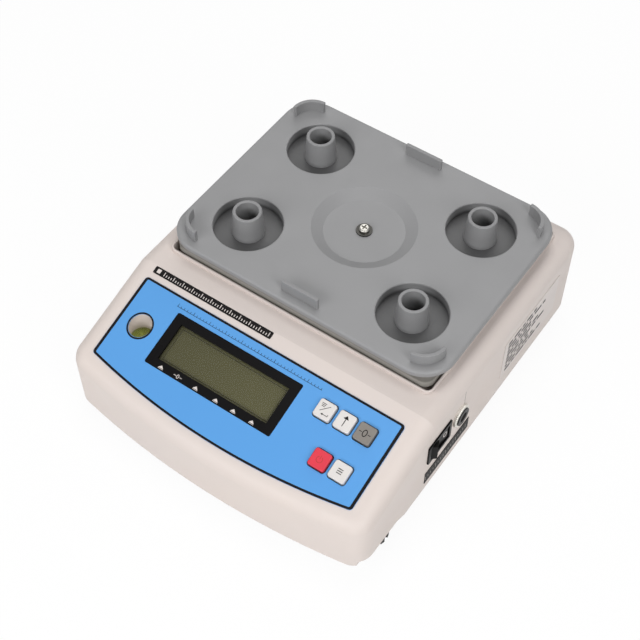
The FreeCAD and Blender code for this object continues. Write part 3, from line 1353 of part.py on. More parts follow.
def feet():
    """Each foot: a rubber pad, and a scalloped knob on a stud that turns in a brass insert."""
    inserts = []
    thread = "foot_stud_radius + foot_thread_gap"
    knob_low = "(foot_pad_height + foot_knob_gap)"
    stud_low = "(foot_pad_height - foot_pad_socket + foot_knob_gap)"
    for corner, (x, y) in foot_places().items():
        pad_blank = rod(f"pad_blank_{corner}", (x, y, "0"), "foot_pad_radius", "foot_pad_height")
        socket_low = "foot_pad_height - foot_pad_socket"
        socket = rod(f"pad_socket_{corner}", (x, y, socket_low), thread, "foot_pad_socket")
        keep(cut(f"foot_pad_{corner}", pad_blank, socket))
        blank = rod(f"knob_blank_{corner}", (x, y, knob_low), "foot_knob_radius", "foot_knob_height")
        tools = [rod(f"knob_bore_{corner}", (x, y, knob_low), "foot_stud_radius", "foot_knob_height")]
        for i in range(SCALLOPS):
            turn = 360 * i / SCALLOPS
            across, along = f"foot_knob_radius * cos({turn})", f"foot_knob_radius * sin({turn})"
            at = (f"{x} + {across}", f"{y} + {along}", knob_low)
            tools.append(rod(f"scallop_{corner}_{i}", at, "foot_scallop_radius", "foot_knob_height"))
        keep(cut(f"foot_knob_{corner}", blank, *tools))
        stud_height = f"{BASE_LOW} + foot_stud_reach - {stud_low}"
        keep(rod(f"foot_stud_{corner}", (x, y, stud_low), "foot_stud_radius", stud_height))
        insert = tube(f"foot_insert_{corner}", (x, y, BASE_LOW), "insert_radius", thread, "insert_height")
        inserts.append(insert)
    keep(group("foot_inserts", *inserts))


def check_model():
    """Stop on any object that failed, any loose sketch and any sub-part without a sound shape."""
    doc.recompute()
    failed = [item.Name for item in doc.Objects if {"Invalid", "Error"} & set(item.State)]
    sketches = [item for item in doc.Objects if item.TypeId == "Sketcher::SketchObject"]
    failed += [item.Name for item in sketches if not item.FullyConstrained]
    failed += [item.Name for item in pieces if item.Shape.isNull() or not item.Shape.isValid()]
    if failed:
        raise RuntimeError(f"not sound: {', '.join(failed)}")


def write_parts():
    os.makedirs("parts", exist_ok=True)
    for item in pieces:
        item.Shape.exportStep(f"parts/{item.Label}.step")


fill_sheet()
upper_housing()
base_plate()
base_screws()
pan_support()
pan_skirt()
pan_uprights()
platform_spindle()
spindle_screws()
platform_screw()
load_cell()
load_cell_spacer()
gauge_covers()
overload_stops()
panel_overlay()
display_bezel()
display_window()
lcd_glass()
lcd_connectors()
display_board()
board_screws()
keys()
tact_switches()
bubble_level()
switch_body()
rocker()
switch_terminals()
power_inlet()
labels()
main_board()
board_parts()
headers_and_ribbon()
cables()
feet()
check_model()
write_parts()
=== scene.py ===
"""Looks of the benchtop density meter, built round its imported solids.

Lengths are in millimetres where nothing else is said, and MM turns them into the scene's metres. Printed
marks are thin solids, sunk a little into the face that they are printed on.
"""

import json
import math

import bmesh
import bpy
from mathutils import Matrix, Vector


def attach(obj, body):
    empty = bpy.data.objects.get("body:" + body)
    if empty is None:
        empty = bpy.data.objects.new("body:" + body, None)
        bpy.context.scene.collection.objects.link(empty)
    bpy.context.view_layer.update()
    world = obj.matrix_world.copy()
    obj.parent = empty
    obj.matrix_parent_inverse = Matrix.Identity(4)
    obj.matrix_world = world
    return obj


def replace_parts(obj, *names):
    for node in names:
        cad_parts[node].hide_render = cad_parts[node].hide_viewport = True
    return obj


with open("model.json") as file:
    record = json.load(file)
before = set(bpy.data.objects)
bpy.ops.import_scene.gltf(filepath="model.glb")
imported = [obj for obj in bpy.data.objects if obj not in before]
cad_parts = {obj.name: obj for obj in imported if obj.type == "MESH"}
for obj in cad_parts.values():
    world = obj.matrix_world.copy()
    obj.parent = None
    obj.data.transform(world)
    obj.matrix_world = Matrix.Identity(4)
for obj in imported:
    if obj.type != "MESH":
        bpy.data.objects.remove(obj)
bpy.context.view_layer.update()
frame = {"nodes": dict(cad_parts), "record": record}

MM = 0.001

# The slope's frame starts at the middle of the console's back edge. The right wall stands across X, and the
# rocker in it is tipped at rest.
SLOPE_ANGLE = math.radians(17.3)
SLOPE_START = (0, -46.245, 59.666)
WALL_X = 90
ROCKER_MIDDLE = (86.9, -32.75, 38.5)
ROCKER_TIP = math.radians(11)
INLET_Y, INLET_Z = -13.75, 38.5

# The keys' middles on the slope
KEYS = {
    "function_key": (41.4, -13.4),
    "up_key": (52.85, -13.4),
    "zero_key": (64.3, -13.4),
    "power_key": (52.85, -34.9),
    "mode_key": (64.3, -34.9),
}

# How far the printed faces stand off the console and the wall, and how the print lies in them
PANEL_FACE = 0.5
LABEL_FACE = 0.3
LCD_FACE = -2.0
KEY_FACE = 2.5
PRINT_SUNK = 0.02
PRINT_PROUD = 0.03

# Heights where the painted shade is darkest and where it has gone: in the wells, on the skirt under the
# plate's edge and on the screw's washer
WELL_PAINTED_SHADE = (68.3, 70.65)
SKIRT_PAINTED_SHADE = (66.9, 65.3)
WASHER_PAINTED_SHADE = (71.5, 71.7)

# The lamps: place, aim and size in metres, and power in watts
SOFTBOXES = {
    "right_box": ((0.85, -0.35, 0.75), (0, 0, 0.05), (0.5, 0.8), 6.6),
    "front_box": ((-0.15, -0.95, 0.62), (0, -0.05, 0.05), (1.1, 0.4), 7.4),
    "back_box": ((-0.3, 0.8, 0.8), (0, 0, 0.05), (1.0, 0.5), 2.6),
    "top_box": ((-0.1, 0.2, 1.15), (0, 0, 0.05), (0.5, 0.4), 3.6),
}
WORLD_LIGHT = 0.08
FLOOR_GLOW = 0.94
FLOOR_SIZE = 8.0


# Frames whose x and y lie in a face, and whose z stands off it


def facing_right(x=0):
    """The frame of a face that stands at x and looks along X: its own x runs along Y, and its y up."""
    return Matrix(((0, 0, 1, x * MM), (1, 0, 0, 0), (0, 1, 0, 0), (0, 0, 0, 1)))


SLOPE = Matrix.Translation(Vector(SLOPE_START) * MM) @ Matrix.Rotation(SLOPE_ANGLE, 4, "X")
WALL = facing_right(WALL_X)
ROCKER = Matrix.Translation(Vector(ROCKER_MIDDLE) * MM) @ Matrix.Rotation(ROCKER_TIP, 4, "Z") @ facing_right()


# Colours and finishes

DULL = {"Specular IOR Level": 0.08}
SATIN = {"Specular IOR Level": 0.3}
METAL = {"Metallic": 1.0}
PAN_GREY = (138, 138, 139)

# Sockets of a colour's Mix node, which has several of each name
MIX_FACTOR, MIX_A, MIX_B, MIX_RESULT = 0, 6, 7, 2


def linear(red, green, blue):
    """A colour in linear light, from sRGB values up to 255."""
    values = [v / 255 for v in (red, green, blue)]
    return [v / 12.92 if v <= 0.04045 else ((v + 0.055) / 1.055) ** 2.4 for v in values]


class Finish:
    """A material whose colour, roughness and surface each vary a little, as a real one's do."""

    def __init__(self, name, colour, sockets=None):
        self.material = bpy.data.materials.new(name)
        self.material.use_nodes = True
        self.nodes = self.material.node_tree.nodes
        self.links = self.material.node_tree.links
        self.shader = self.nodes["Principled BSDF"]
        for socket, value in (sockets or {}).items():
            self.shader.inputs[socket].default_value = value
        self.colour = linear(*colour)
        self.place = self.nodes.new("ShaderNodeTexCoord").outputs["Object"]

    def stretched(self, stretch):
        """Coordinates drawn out along an axis, for marks that run one way."""
        node = self.nodes.new("ShaderNodeMapping")
        node.inputs["Scale"].default_value = stretch
        self.links.new(self.place, node.inputs["Vector"])
        return node.outputs["Vector"]

    def noise(self, size, detail, where=None):
        """Noise with features of a size."""
        node = self.nodes.new("ShaderNodeTexNoise")
        node.inputs["Scale"].default_value = 1 / (size * MM)
        node.inputs["Detail"].default_value = detail
        self.links.new(where or self.place, node.inputs["Vector"])
        return node.outputs["Fac"]

    def ranged(self, value, low, high, start=0.3, end=0.7):
        """A value from start to end, spread over low to high. Noise lies mostly between 0.3 and 0.7."""
        node = self.nodes.new("ShaderNodeMapRange")
        for socket, number in zip(("From Min", "From Max", "To Min", "To Max"), (start, end, low, high)):
            node.inputs[socket].default_value = number
        self.links.new(value, node.inputs["Value"])
        return node.outputs["Result"]

    def along(self, axis, start, end, low, high):
        """A value that goes from low to high between two places along an axis."""
        parts = self.nodes.new("ShaderNodeSeparateXYZ")
        self.links.new(self.place, parts.inputs[0])
        return self.ranged(parts.outputs[axis], low, high, start * MM, end * MM)

    def blended(self, factor, first, second):
        """Give the surface a colour between two."""
        node = self.nodes.new("ShaderNodeMix")
        node.data_type = "RGBA"
        for socket, colour in ((MIX_A, first), (MIX_B, second)):
            node.inputs[socket].default_value = (*[min(c, 1.0) for c in colour], 1.0)
        self.links.new(factor, node.inputs[MIX_FACTOR])
        self.links.new(node.outputs[MIX_RESULT], self.shader.inputs["Base Color"])
        return self

    def drift(self, size, share, tint=(1.0, 1.0, 1.0)):
        """Let the colour drift by a share, and towards a tint, over patches of a size."""
        darker = [c * (1 - share) for c in self.colour]
        lighter = [c * (1 + share) * t for c, t in zip(self.colour, tint)]
        return self.blended(self.ranged(self.noise(size, 4.0), 0.0, 1.0), darker, lighter)

    def painted_shade_along(self, axis, start, end, share):
        """Painted shade: let the colour rise by a share from one place to another along an axis."""
        darker = [c * (1 - share) for c in self.colour]
        lighter = [c * (1 + share) for c in self.colour]
        return self.blended(self.along(axis, start, end, 0.0, 1.0), darker, lighter)

    def painted_shade(self, dark, light, gain):
        """Paint shade into the colour: darken it towards one height, as a hollow or a wall under an edge is
        dark.
        """
        depth = self.along(2, dark, light, gain, 1.0)
        grey = self.nodes.new("ShaderNodeCombineColor")
        for socket in grey.inputs:
            self.links.new(depth, socket)
        node = self.nodes.new("ShaderNodeMix")
        node.data_type, node.blend_type = "RGBA", "MULTIPLY"
        node.inputs[MIX_FACTOR].default_value = 1.0
        colour = self.shader.inputs["Base Color"]
        self.links.new(colour.links[0].from_socket, node.inputs[MIX_A])
        self.links.new(grey.outputs[0], node.inputs[MIX_B])
        self.links.new(node.outputs[MIX_RESULT], colour)
        return self

    def rough(self, low, high, size):
        """Roughness between two values, in patches of a size."""
        self.links.new(self.ranged(self.noise(size, 3.0), low, high), self.shader.inputs["Roughness"])
        return self

    def grain(self, size, depth, strength, where=None):
        """A fine relief whose features have a size and a depth."""
        node = self.nodes.new("ShaderNodeBump")
        node.inputs["Strength"].default_value = strength
        node.inputs["Distance"].default_value = depth * MM
        self.links.new(self.noise(size, 3.0, where), node.inputs["Height"])
        self.links.new(node.outputs["Normal"], self.shader.inputs["Normal"])
        return self


def case_finishes():
    """The slots of the case, the pan and what is set in them."""
    return {
        "case_shell": Finish("ivory_housing", (214, 204, 199), SATIN)
        .drift(55, 0.012, (1.0, 0.99, 0.975)).rough(0.42, 0.54, 22).grain(0.45, 0.012, 0.5),
        "pan_plastic": Finish("grey_pan", PAN_GREY, SATIN)
        .drift(40, 0.02).rough(0.4, 0.52, 18).grain(0.35, 0.012, 0.55),
        "base_metal": Finish("base_paint", (84, 84, 87))
        .drift(30, 0.05).rough(0.45, 0.6, 9).grain(0.6, 0.03, 0.6),
        "panel_face": Finish("blue_film", (88, 154, 217), SATIN)
        .drift(45, 0.012).rough(0.34, 0.42, 25).grain(0.25, 0.006, 0.4),
        "bezel_black": Finish("bezel_plastic", (12, 11, 12), DULL)
        .drift(8, 0.1).rough(0.25, 0.36, 14).grain(0.3, 0.005, 0.4),
        "window_clear": Finish("window_sheet", (52, 52, 46), {"Alpha": 0.1})
        .drift(30, 0.02).rough(0.05, 0.1, 20),
        # Painted shade on the display: darker at its left, where the bezel's shadow falls, and lighter
        # towards the right.
        "lcd_olive": Finish("lcd_glass", (100, 98, 70), DULL)
        .painted_shade_along(0, -46, 20, 0.12).rough(0.3, 0.4, 12),
        "key_white": Finish("white_key", (217, 213, 210), SATIN)
        .drift(5, 0.012).rough(0.36, 0.48, 3).grain(0.2, 0.008, 0.5),
        "key_grey": Finish("grey_key", (128, 123, 117), SATIN)
        .drift(5, 0.02).rough(0.36, 0.48, 3).grain(0.2, 0.008, 0.5),
        "key_red": Finish("red_key", (214, 58, 74), SATIN)
        .drift(5, 0.02).rough(0.36, 0.48, 3).grain(0.2, 0.008, 0.5),
        "vial_clear": Finish("vial_plastic", (186, 196, 96), {"Alpha": 0.4})
        .drift(5, 0.01).rough(0.04, 0.1, 4),
        "fluid_yellow": Finish("level_fluid", (186, 196, 84))
        .drift(4, 0.06, (1.0, 1.0, 0.8)).rough(0.12, 0.22, 3),
        "bubble_air": Finish("level_bubble", (214, 222, 150))
        .drift(2, 0.03).rough(0.05, 0.12, 2),
        "label_black": Finish("dark_print", (24, 22, 22), DULL)
        .drift(6, 0.1).rough(0.4, 0.55, 5).grain(0.3, 0.004, 0.4),
        "label_white": Finish("white_print", (214, 206, 202), SATIN)
        .drift(12, 0.012).rough(0.42, 0.54, 6).grain(0.3, 0.004, 0.4),
        "switch_black": Finish("switch_plastic", (16, 15, 15), DULL)
        .drift(4, 0.1).rough(0.3, 0.42, 4).grain(0.25, 0.006, 0.5),
        "nickel": Finish("nickel_plate", (214, 211, 204), METAL)
        .drift(3, 0.08).rough(0.3, 0.44, 2).grain(0.4, 0.01, 0.4),
        "foot_rubber": Finish("foot_rubber", (32, 31, 31), DULL)
        .drift(4, 0.12).rough(0.7, 0.85, 3).grain(0.5, 0.03, 0.6),
        "knob_black": Finish("knob_plastic", (28, 27, 28), DULL)
        .drift(4, 0.1).rough(0.35, 0.5, 3).grain(0.3, 0.01, 0.5),
    }


def inner_finishes():
    """The slots of what is inside the case."""
    milled = Finish("milled_aluminium", (205, 206, 208), METAL)
    ribbon = Finish("ribbon_jacket", (150, 152, 158))
    return {
        "steel": Finish("zinc_steel", (160, 161, 162), METAL)
        .drift(3, 0.06).rough(0.3, 0.46, 2).grain(0.3, 0.01, 0.4),
        "brass": Finish("turned_brass", (196, 164, 96), METAL)
        .drift(3, 0.05).rough(0.25, 0.4, 2).grain(0.3, 0.008, 0.4),
        "cell_metal": milled
        .drift(6, 0.03).rough(0.25, 0.4, 3).grain(0.5, 0.01, 0.5, milled.stretched((1.0, 0.05, 1.0))),
        "silicone_white": Finish("white_silicone", (216, 215, 208))
        .drift(4, 0.02).rough(0.55, 0.7, 3).grain(0.4, 0.015, 0.5),
        "board_green": Finish("solder_mask", (30, 92, 62))
        .drift(6, 0.12).rough(0.25, 0.4, 5).grain(0.8, 0.02, 0.5),
        "chip_black": Finish("moulded_black", (34, 33, 33))
        .drift(3, 0.08).rough(0.45, 0.6, 2).grain(0.2, 0.01, 0.5),
        "can_metal": Finish("capacitor_can", (170, 172, 176), METAL)
        .drift(3, 0.04).rough(0.3, 0.42, 2),
        "header_ivory": Finish("header_plastic", (226, 218, 196))
        .drift(3, 0.02).rough(0.4, 0.5, 2).grain(0.3, 0.01, 0.4),
        "cable_black": Finish("cable_jacket", (36, 35, 35))
        .drift(3, 0.1).rough(0.5, 0.65, 3).grain(0.4, 0.012, 0.5),
        "lead_red": Finish("lead_jacket", (176, 44, 38))
        .drift(3, 0.05).rough(0.4, 0.55, 3).grain(0.4, 0.01, 0.4),
        "ribbon_grey": ribbon
        .drift(6, 0.05).rough(0.4, 0.5, 3).grain(0.7, 0.05, 0.8, ribbon.stretched((1.0, 0.04, 0.04))),
    }


def shaded_finishes():
    """Finishes of single nodes, in place of their slot's: the ones with shade painted into their colour,
    which fades off with height.
    """
    return {
        # Painted shade in the pan's wells: the colour darkens towards their floors.
        "pan_support": Finish("pan_plate", PAN_GREY)
        .drift(40, 0.02).painted_shade(*WELL_PAINTED_SHADE, 0.3).rough(0.4, 0.52, 18).grain(0.35, 0.012, 0.55),
        # Painted shade on the skirt: darker at its top, under the plate's edge.
        "pan_skirt": Finish("pan_skirt", (154, 151, 145), SATIN)
        .drift(40, 0.02).painted_shade(*SKIRT_PAINTED_SHADE, 0.45).rough(0.4, 0.52, 18).grain(0.35, 0.012, 0.55),
        # Painted shade on the screw: its washer is darkened, and its head stays bright.
        "platform_screw": Finish("pan_screw", (176, 174, 168), METAL)
        .drift(3, 0.08).painted_shade(*WASHER_PAINTED_SHADE, 0.12).rough(0.25, 0.4, 2).grain(0.4, 0.01, 0.4),
    }


FINISHES = {**case_finishes(), **inner_finishes(), **shaded_finishes()}
SLOTS = {part["node"]: part["material_slot"] for part in frame["record"]["subparts"]}
for node, item in frame["nodes"].items():
    item.data.materials.clear()
    item.data.materials.append(FINISHES.get(node, FINISHES[SLOTS[node]]).material)


# Mesh builders


def piece(name, mesh, slot, body):
    """Put a mesh on show with a slot's finish, riding on a body."""
    item = bpy.data.objects.new(name, mesh)
    bpy.context.scene.collection.objects.link(item)
    mesh.materials.append(FINISHES[slot].material)
    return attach(item, body)


def mesh_of(name, vertices, faces, place):
    """A mesh in metres, from vertices in a frame."""
    mesh = bpy.data.meshes.new(name)
    mesh.from_pydata([place @ (Vector(v) * MM) for v in vertices], [], faces)
    mesh.validate()
    return mesh


def prism(outline, low, high):
    """Vertices and faces of a prism over a plain outline, given anticlockwise."""
    count = len(outline)
    vertices = [(x, y, low) for x, y in outline] + [(x, y, high) for x, y in outline]
    faces = [tuple(reversed(range(count))), tuple(range(count, 2 * count))]
    faces += [(i, (i + 1) % count, count + (i + 1) % count, count + i) for i in range(count)]
    return vertices, faces


def band(outer, inner, low, high):
    """Vertices and faces of a flat band between two loops with as many points each."""
    count = len(outer)
    vertices = [(x, y, z) for z in (low, high) for loop in (outer, inner) for x, y in loop]
    faces = []
    for i in range(count):
        j = (i + 1) % count
        out_low, in_low, out_high, in_high = [(ring * count + i, ring * count + j) for ring in range(4)]
        faces.append((out_high[0], out_high[1], in_high[1], in_high[0]))
        faces.append((out_low[1], out_low[0], in_low[0], in_low[1]))
        faces.append((out_low[0], out_low[1], out_high[1], out_high[0]))
        faces.append((in_low[1], in_low[0], in_high[0], in_high[1]))
    return vertices, faces


def gathered(parts):
    """Several pairs of vertices and faces as one."""
    vertices, faces = [], []
    for more_vertices, more_faces in parts:
        start = len(vertices)
        vertices += more_vertices
        faces += [tuple(start + i for i in face) for face in more_faces]
    return vertices, faces


def print_marks(name, outlines, place, level, slot, body, rings=()):
    """Printed marks on a face: plain outlines, and rings as pairs of loops."""
    low, high = level - PRINT_SUNK, level + PRINT_PROUD
    parts = [prism(outline, low, high) for outline in outlines]
    parts += [band(outer, inner, low, high) for outer, inner in rings]
    return piece(name, mesh_of(name, *gathered(parts), place), slot, body)


# Outlines, anticlockwise


def ellipse(x, y, half_width, half_height, count=32):
    turns = [2 * math.pi * i / count for i in range(count)]
    return [(x + half_width * math.cos(t), y + half_height * math.sin(t)) for t in turns]


def rectangle(x, y, width, height):
    """An outline from its middle and its size."""
    a, b = width / 2, height / 2
    return [(x - a, y - b), (x + a, y - b), (x + a, y + b), (x - a, y + b)]


def arc(x, y, start, end, radius, steps):
    """Points along an arc, with both its ends."""
    turns = [start + (end - start) * i / steps for i in range(steps + 1)]
    return [(x + radius * math.cos(t), y + radius * math.sin(t)) for t in turns]


def rounded(x, y, half, corner, steps=6):
    """A square outline with round corners, from its middle and its half size."""
    loop = []
    for quarter, (a, b) in enumerate(((1, 1), (-1, 1), (-1, -1), (1, -1))):
        start = math.pi / 2 * quarter
        corner_x, corner_y = x + a * (half - corner), y + b * (half - corner)
        loop += arc(corner_x, corner_y, start, start + math.pi / 2, corner, steps)
    return loop


def bar(start, end, width):
    """The outline of a straight stroke."""
    a, b = Vector(start), Vector(end)
    side = Vector((a.y - b.y, b.x - a.x)).normalized() * width / 2
    return [tuple(p) for p in (a - side, b - side, b + side, a + side)]


def ticks(count, start, pitch, y, width, short, long, every, rise=0.5):
    """A row of ticks, one in so many of them long. They stand on y, or straddle it where the rise is 0."""
    heights = [short if i % every else long for i in range(count)]
    return [rectangle(start + pitch * i, y + rise * high, width, high) for i, high in enumerate(heights)]


def panel_loop(inset, steps=12):
    """The panel's outline, drawn in by an inset. It is straight at the back, and its front bows out."""
    half_width, side, bow, corner, least_corner = 78.6, 47.5, 7.9, 2.0, 0.4
    radius = (half_width**2 + bow**2) / (2 * bow)
    centre_y = -side - bow + radius
    half_width, radius, corner = half_width - inset, radius - inset, max(corner - inset, least_corner)
    corner_x, back_y = half_width - corner, -inset - corner
    front_y = centre_y - math.sqrt((radius - corner) ** 2 - corner_x**2)
    right_end = math.atan2(front_y - centre_y, corner_x)
    left_end = math.pi - right_end
    return [
        *arc(corner_x, back_y, 0, math.pi / 2, corner, steps),
        *arc(-corner_x, back_y, math.pi / 2, math.pi, corner, steps),
        *arc(-corner_x, front_y, math.pi, left_end, corner, steps),
        *arc(0, centre_y, left_end, 2 * math.pi + right_end, radius, 4 * steps)[1:-1],
        *arc(corner_x, front_y, right_end, 0, corner, steps),
    ]


# The console's printing


def panel_printing():
    """The panel's printed outline, a little wider at the sides by painted shadow along the panel's edge, and
    a fine scale where the face has a heading.
    """
    # The outline is print, and its extra width at the sides is painted shadow.
    margin, width, side_shadow_gain = 0.05, 1.15, 0.995
    inner = [(side_shadow_gain * x, y) for x, y in panel_loop(margin + width)]
    print_marks("panel_outline", [], SLOPE, PANEL_FACE, "label_black", "root", [(panel_loop(margin), inner)])
    line = rectangle(-10.4, -5.6, 89.0, 0.22)
    scale = ticks(count=45, start=-54.4, pitch=2, y=-5.49, width=0.24, short=0.9, long=1.6, every=5)
    print_marks("panel_scale", [line, *scale], SLOPE, PANEL_FACE, "label_black", "root")


def outlines_on_panel():
    """Rings round the level's upright bore, rings of painted shadow round the keys, and the edge of the
    display's field.
    """
    level_x, level_y = -65.2, -23.9
    level = [ellipse(level_x, level_y, r, r / math.cos(SLOPE_ANGLE), 64) for r in (7.1, 6.22)]
    print_marks("level_ring", [], SLOPE, PANEL_FACE, "label_black", "root", [level])
    # Painted shadow: a black ring round each key, where its shadow falls on the film.
    rings = [(rounded(x, y, 5.2, 1.8), rounded(x, y, 4.92, 1.52)) for x, y in KEYS.values()]
    print_marks("key_shadow_rings", [], SLOPE, PANEL_FACE, "label_black", "root", rings)
    field = (rectangle(-13.5, -23.0, 64.2, 18.2), rectangle(-13.5, -23.0, 63.8, 17.8))
    print_marks("lcd_border", [], SLOPE, LCD_FACE, "label_black", "root", [field])


def title_printing():
    """The title strip's marks: a square, then a scale."""
    square = rectangle(-74.6, 5.35, 2.2, 2.2)
    scale = ticks(count=45, start=-71.0, pitch=1.5, y=4.25, width=0.42, short=1.2, long=2.2, every=4)
    print_marks("title_marks", [square, *scale], SLOPE, LABEL_FACE, "label_white", "root")


def display_printing():
    """Pointers below the display, and a ring between two dashes."""
    y = -36.0
    marks = []
    for x in (-42.4, -20.7, -8.3, 2.4, 13.5):
        marks += [[(x - 1.5, y - 0.8), (x + 1.5, y - 0.8), (x, y + 0.7)], rectangle(x, y - 1.15, 3.0, 0.22)]
    marks += [bar((-34.6, y), (-33.2, y), 0.3), bar((-31.0, y), (-29.6, y), 0.3)]
    zero = (ellipse(-32.1, y, 0.75, 1.1), ellipse(-32.1, y, 0.45, 0.8))
    print_marks("display_marks", marks, SLOPE, PANEL_FACE, "label_white", "root", [zero])


def key_legends():
    """A symbol on each key, printed on its top."""

    def legend(key, outlines, rings=(), slot="label_black"):
        print_marks(f"{key}_legend", outlines, SLOPE, KEY_FACE, slot, f"{key}_cap", rings)

    # bars and a stroke across, over an arrow that turns back
    x, y = KEYS["function_key"]
    marks = [rectangle(x - 1.7, y + 2.7 - i * 0.75, 2.6 - 0.4 * i, 0.3) for i in range(3)]
    marks.append(bar((x - 2.2, y - 1.4), (x + 2.0, y + 2.6), 0.28))
    marks.append(bar((x - 0.2, y - 2.4), (x + 3.0, y - 2.4), 0.3))
    marks.append([(x - 0.9, y - 2.4), (x + 0.2, y - 3.0), (x + 0.2, y - 1.8)])
    marks.append(rectangle(x + 2.85, y - 1.9, 0.3, 0.9))
    legend("function_key", marks)

    # an arrow up
    x, y = KEYS["up_key"]
    head = [(x - 1.5, y + 1.2), (x + 1.5, y + 1.2), (x, y + 3.0)]
    legend("up_key", [rectangle(x, y - 0.6, 0.4, 4.2), head])

    # a ring between two dashes
    x, y = KEYS["zero_key"]
    dashes = [bar((x - 3.2, y), (x - 1.7, y), 0.35), bar((x + 1.7, y), (x + 3.2, y), 0.35)]
    legend("zero_key", dashes, [(ellipse(x, y, 1.25, 1.9), ellipse(x, y, 0.8, 1.45))])

    # an open ring with a stroke in its gap
    x, y = KEYS["power_key"]
    start, end = math.radians(120), math.radians(420)
    rim, inside = [arc(x, y - 0.2, start, end, radius, 24) for radius in (1.75, 1.4)]
    links = [[rim[i], rim[i + 1], inside[i + 1], inside[i]] for i in range(24)]
    legend("power_key", [*links, rectangle(x, y + 1.0, 0.35, 2.0)], slot="lead_red")

    # three bars
    x, y = KEYS["mode_key"]
    legend("mode_key", [rectangle(x, y + 1.1 * (i - 1), 2.8, 0.4) for i in range(3)])


# The right wall


def wall_printing():
    """The socket strip's scale, rows of bars on the rating plate, and a thin upright line over the inlet."""
    scale = ticks(count=17, start=-43.2, pitch=2.35, y=18.5, width=0.5, short=1.8, long=3.2, every=4, rise=0)
    print_marks("socket_marks", scale, WALL, LABEL_FACE, "key_grey", "root")

    bar_lengths = (5.5, 3.0, 8.0, 2.2, 6.5, 4.0, 7.0, 2.6)
    left, low, row_pitch, bar_height, gap = 32.5, 22.5, 3.2, 1.7, 1.6
    bars = []
    for row in range(8):
        x = left
        for k in range(6 - row % 3):
            length = bar_lengths[(3 * row + k) % len(bar_lengths)]
            bars.append(rectangle(x + length / 2, low + row_pitch * row, length, bar_height))
            x += length + gap
    print_marks("rating_rows", bars, WALL, LABEL_FACE, "label_black", "root")
    print_marks("wall_line", [rectangle(-10.0, 47.3, 0.35, 13.8)], WALL, 0.0, "key_grey", "root")


def rocker_marks():
    """The bar and the ring on the two halves of the rocker's face, which meet in a shallow waist."""
    half_length, end_out, waist_out, from_middle = 8.2, 5.2, 2.9, 4.6
    lean = math.atan2(end_out - waist_out, half_length)

    def half_face(side):
        middle = Vector((side * from_middle, 0, waist_out + from_middle * math.tan(lean))) * MM
        return ROCKER @ Matrix.Translation(middle) @ Matrix.Rotation(-side * lean, 4, "Y")

    print_marks("rocker_bar", [rectangle(0, 0, 0.6, 3.4)], half_face(-1), 0, "label_white", "rocker_body")
    ring = (ellipse(0, 0, 1.6, 1.8), ellipse(0, 0, 1.1, 1.3))
    print_marks("rocker_ring", [], half_face(1), 0, "label_white", "rocker_body", [ring])


def knurled_nut():
    """The inlet's round nut, with a knurled rim and turned chamfers."""
    ribs, points_per_rib, rib_height = 40, 6, 0.12
    count = ribs * points_per_rib
    # radius, height off the wall, and whether the knurl waves there, from the bore's foot round the rim
    profile = [
        (5.02, 0.0, 0),
        (6.38, 0.0, 1),
        (6.38, 1.25, 1),
        (6.05, 1.62, 0),
        (5.75, 1.8, 0),
        (5.3, 1.8, 0),
        (5.02, 1.55, 0),
    ]
    size = len(profile)
    vertices, faces = [], []
    for i in range(count):
        turn = 2 * math.pi * i / count
        wave = rib_height * math.cos(ribs * turn)
        for radius, out, ribbed in profile:
            r = radius + ribbed * wave
            vertices.append((INLET_Y + r * math.cos(turn), INLET_Z + r * math.sin(turn), out))
    for i in range(count):
        j = (i + 1) % count
        for k in range(size):
            m = (k + 1) % size
            faces.append((i * size + k, j * size + k, j * size + m, i * size + m))
    mesh = mesh_of("knurled_nut", vertices, faces, WALL)
    made = bmesh.new()
    made.from_mesh(mesh)
    bmesh.ops.recalc_face_normals(made, faces=made.faces)
    made.to_mesh(mesh)
    made.free()
    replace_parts(piece("knurled_nut", mesh, "nickel", "root"), "jack_nut")


panel_printing()
outlines_on_panel()
title_printing()
display_printing()
key_legends()
wall_printing()
rocker_marks()
knurled_nut()


# The studio


def camera():
    """The photograph's view."""
    target = Vector((15.8, -27.23, 74.0)) * MM
    position = Vector((235.8, -338.85, 581.59)) * MM
    roll = Matrix.Rotation(math.radians(-0.15), 3, "Z").to_quaternion()
    data = bpy.data.cameras.new("camera")
    data.lens, data.sensor_width = 73.8, 36.0
    data.clip_start, data.clip_end = 0.01, 20.0
    item = bpy.data.objects.new("camera", data)
    bpy.context.scene.collection.objects.link(item)
    turn = (target - position).to_track_quat("-Z", "Y") @ roll
    item.matrix_world = Matrix.LocRotScale(position, turn, None)
    bpy.context.scene.camera = item


def softbox(name, place, aim, size, power):
    """A flat lamp, turned to what it aims at."""
    data = bpy.data.lights.new(name, "AREA")
    data.shape, data.size, data.size_y, data.energy = "RECTANGLE", *size, power
    item = bpy.data.objects.new(name, data)
    bpy.context.scene.collection.objects.link(item)
    turn = (Vector(aim) - Vector(place)).to_track_quat("-Z", "Y")
    item.matrix_world = Matrix.LocRotScale(Vector(place), turn, None)


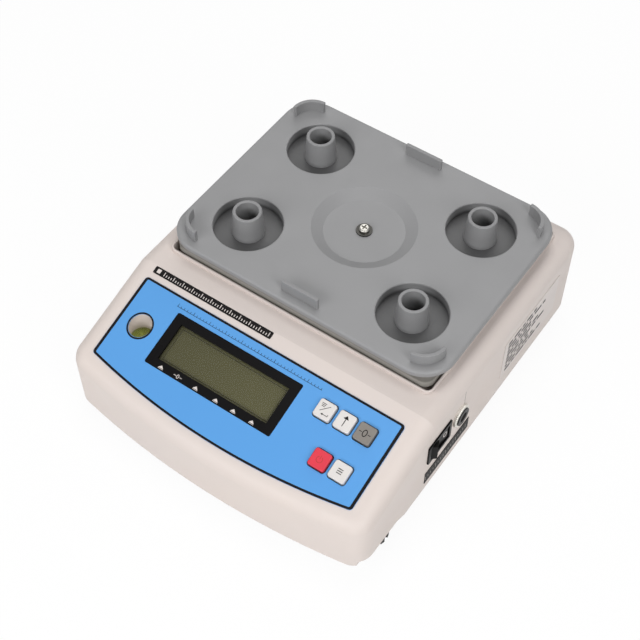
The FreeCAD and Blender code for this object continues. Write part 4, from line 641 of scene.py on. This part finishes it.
def seen_directly(nodes, links):
    """1 for rays from the camera, and for those that gloss and glass send on."""
    path = nodes.new("ShaderNodeLightPath")
    total = path.outputs["Is Camera Ray"]
    for output in ("Is Glossy Ray", "Is Transmission Ray"):
        node = nodes.new("ShaderNodeMath")
        node.operation = "MAXIMUM"
        links.new(total, node.inputs[0])
        links.new(path.outputs[output], node.inputs[1])
        total = node.outputs[0]
    return total


def white_room():
    """A world that looks white, and lights the object only a little."""
    world = bpy.data.worlds.new("studio")
    bpy.context.scene.world = world
    world.use_nodes = True
    nodes, links = world.node_tree.nodes, world.node_tree.links
    background = nodes["Background"]
    background.inputs["Color"].default_value = (1.0, 1.0, 1.0, 1.0)
    strength = nodes.new("ShaderNodeMapRange")
    strength.inputs["To Min"].default_value = WORLD_LIGHT
    strength.inputs["To Max"].default_value = 1.0
    links.new(seen_directly(nodes, links), strength.inputs["Value"])
    links.new(strength.outputs["Result"], background.inputs["Strength"])


def paper_floor():
    """A floor that looks white by a glow that doesn't light the object, and still takes its shadow."""
    bpy.ops.mesh.primitive_plane_add(size=FLOOR_SIZE)
    floor = bpy.context.object
    floor.name = "floor"
    paper = bpy.data.materials.new("paper")
    paper.use_nodes = True
    nodes, links = paper.node_tree.nodes, paper.node_tree.links
    shader, output = nodes["Principled BSDF"], nodes["Material Output"]
    shader.inputs["Base Color"].default_value = (0.9, 0.9, 0.9, 1.0)
    shader.inputs["Roughness"].default_value = 0.9
    glow = nodes.new("ShaderNodeEmission")
    share = nodes.new("ShaderNodeMath")
    share.operation = "MULTIPLY"
    share.inputs[1].default_value = FLOOR_GLOW
    mix = nodes.new("ShaderNodeMixShader")
    links.new(seen_directly(nodes, links), share.inputs[0])
    links.new(share.outputs[0], mix.inputs[0])
    links.new(shader.outputs[0], mix.inputs[1])
    links.new(glow.outputs[0], mix.inputs[2])
    links.new(mix.outputs[0], output.inputs["Surface"])
    floor.data.materials.append(paper)


camera()
for name, settings in SOFTBOXES.items():
    softbox(name, *settings)
white_room()
paper_floor()
bpy.context.scene.view_settings.view_transform = "Standard"
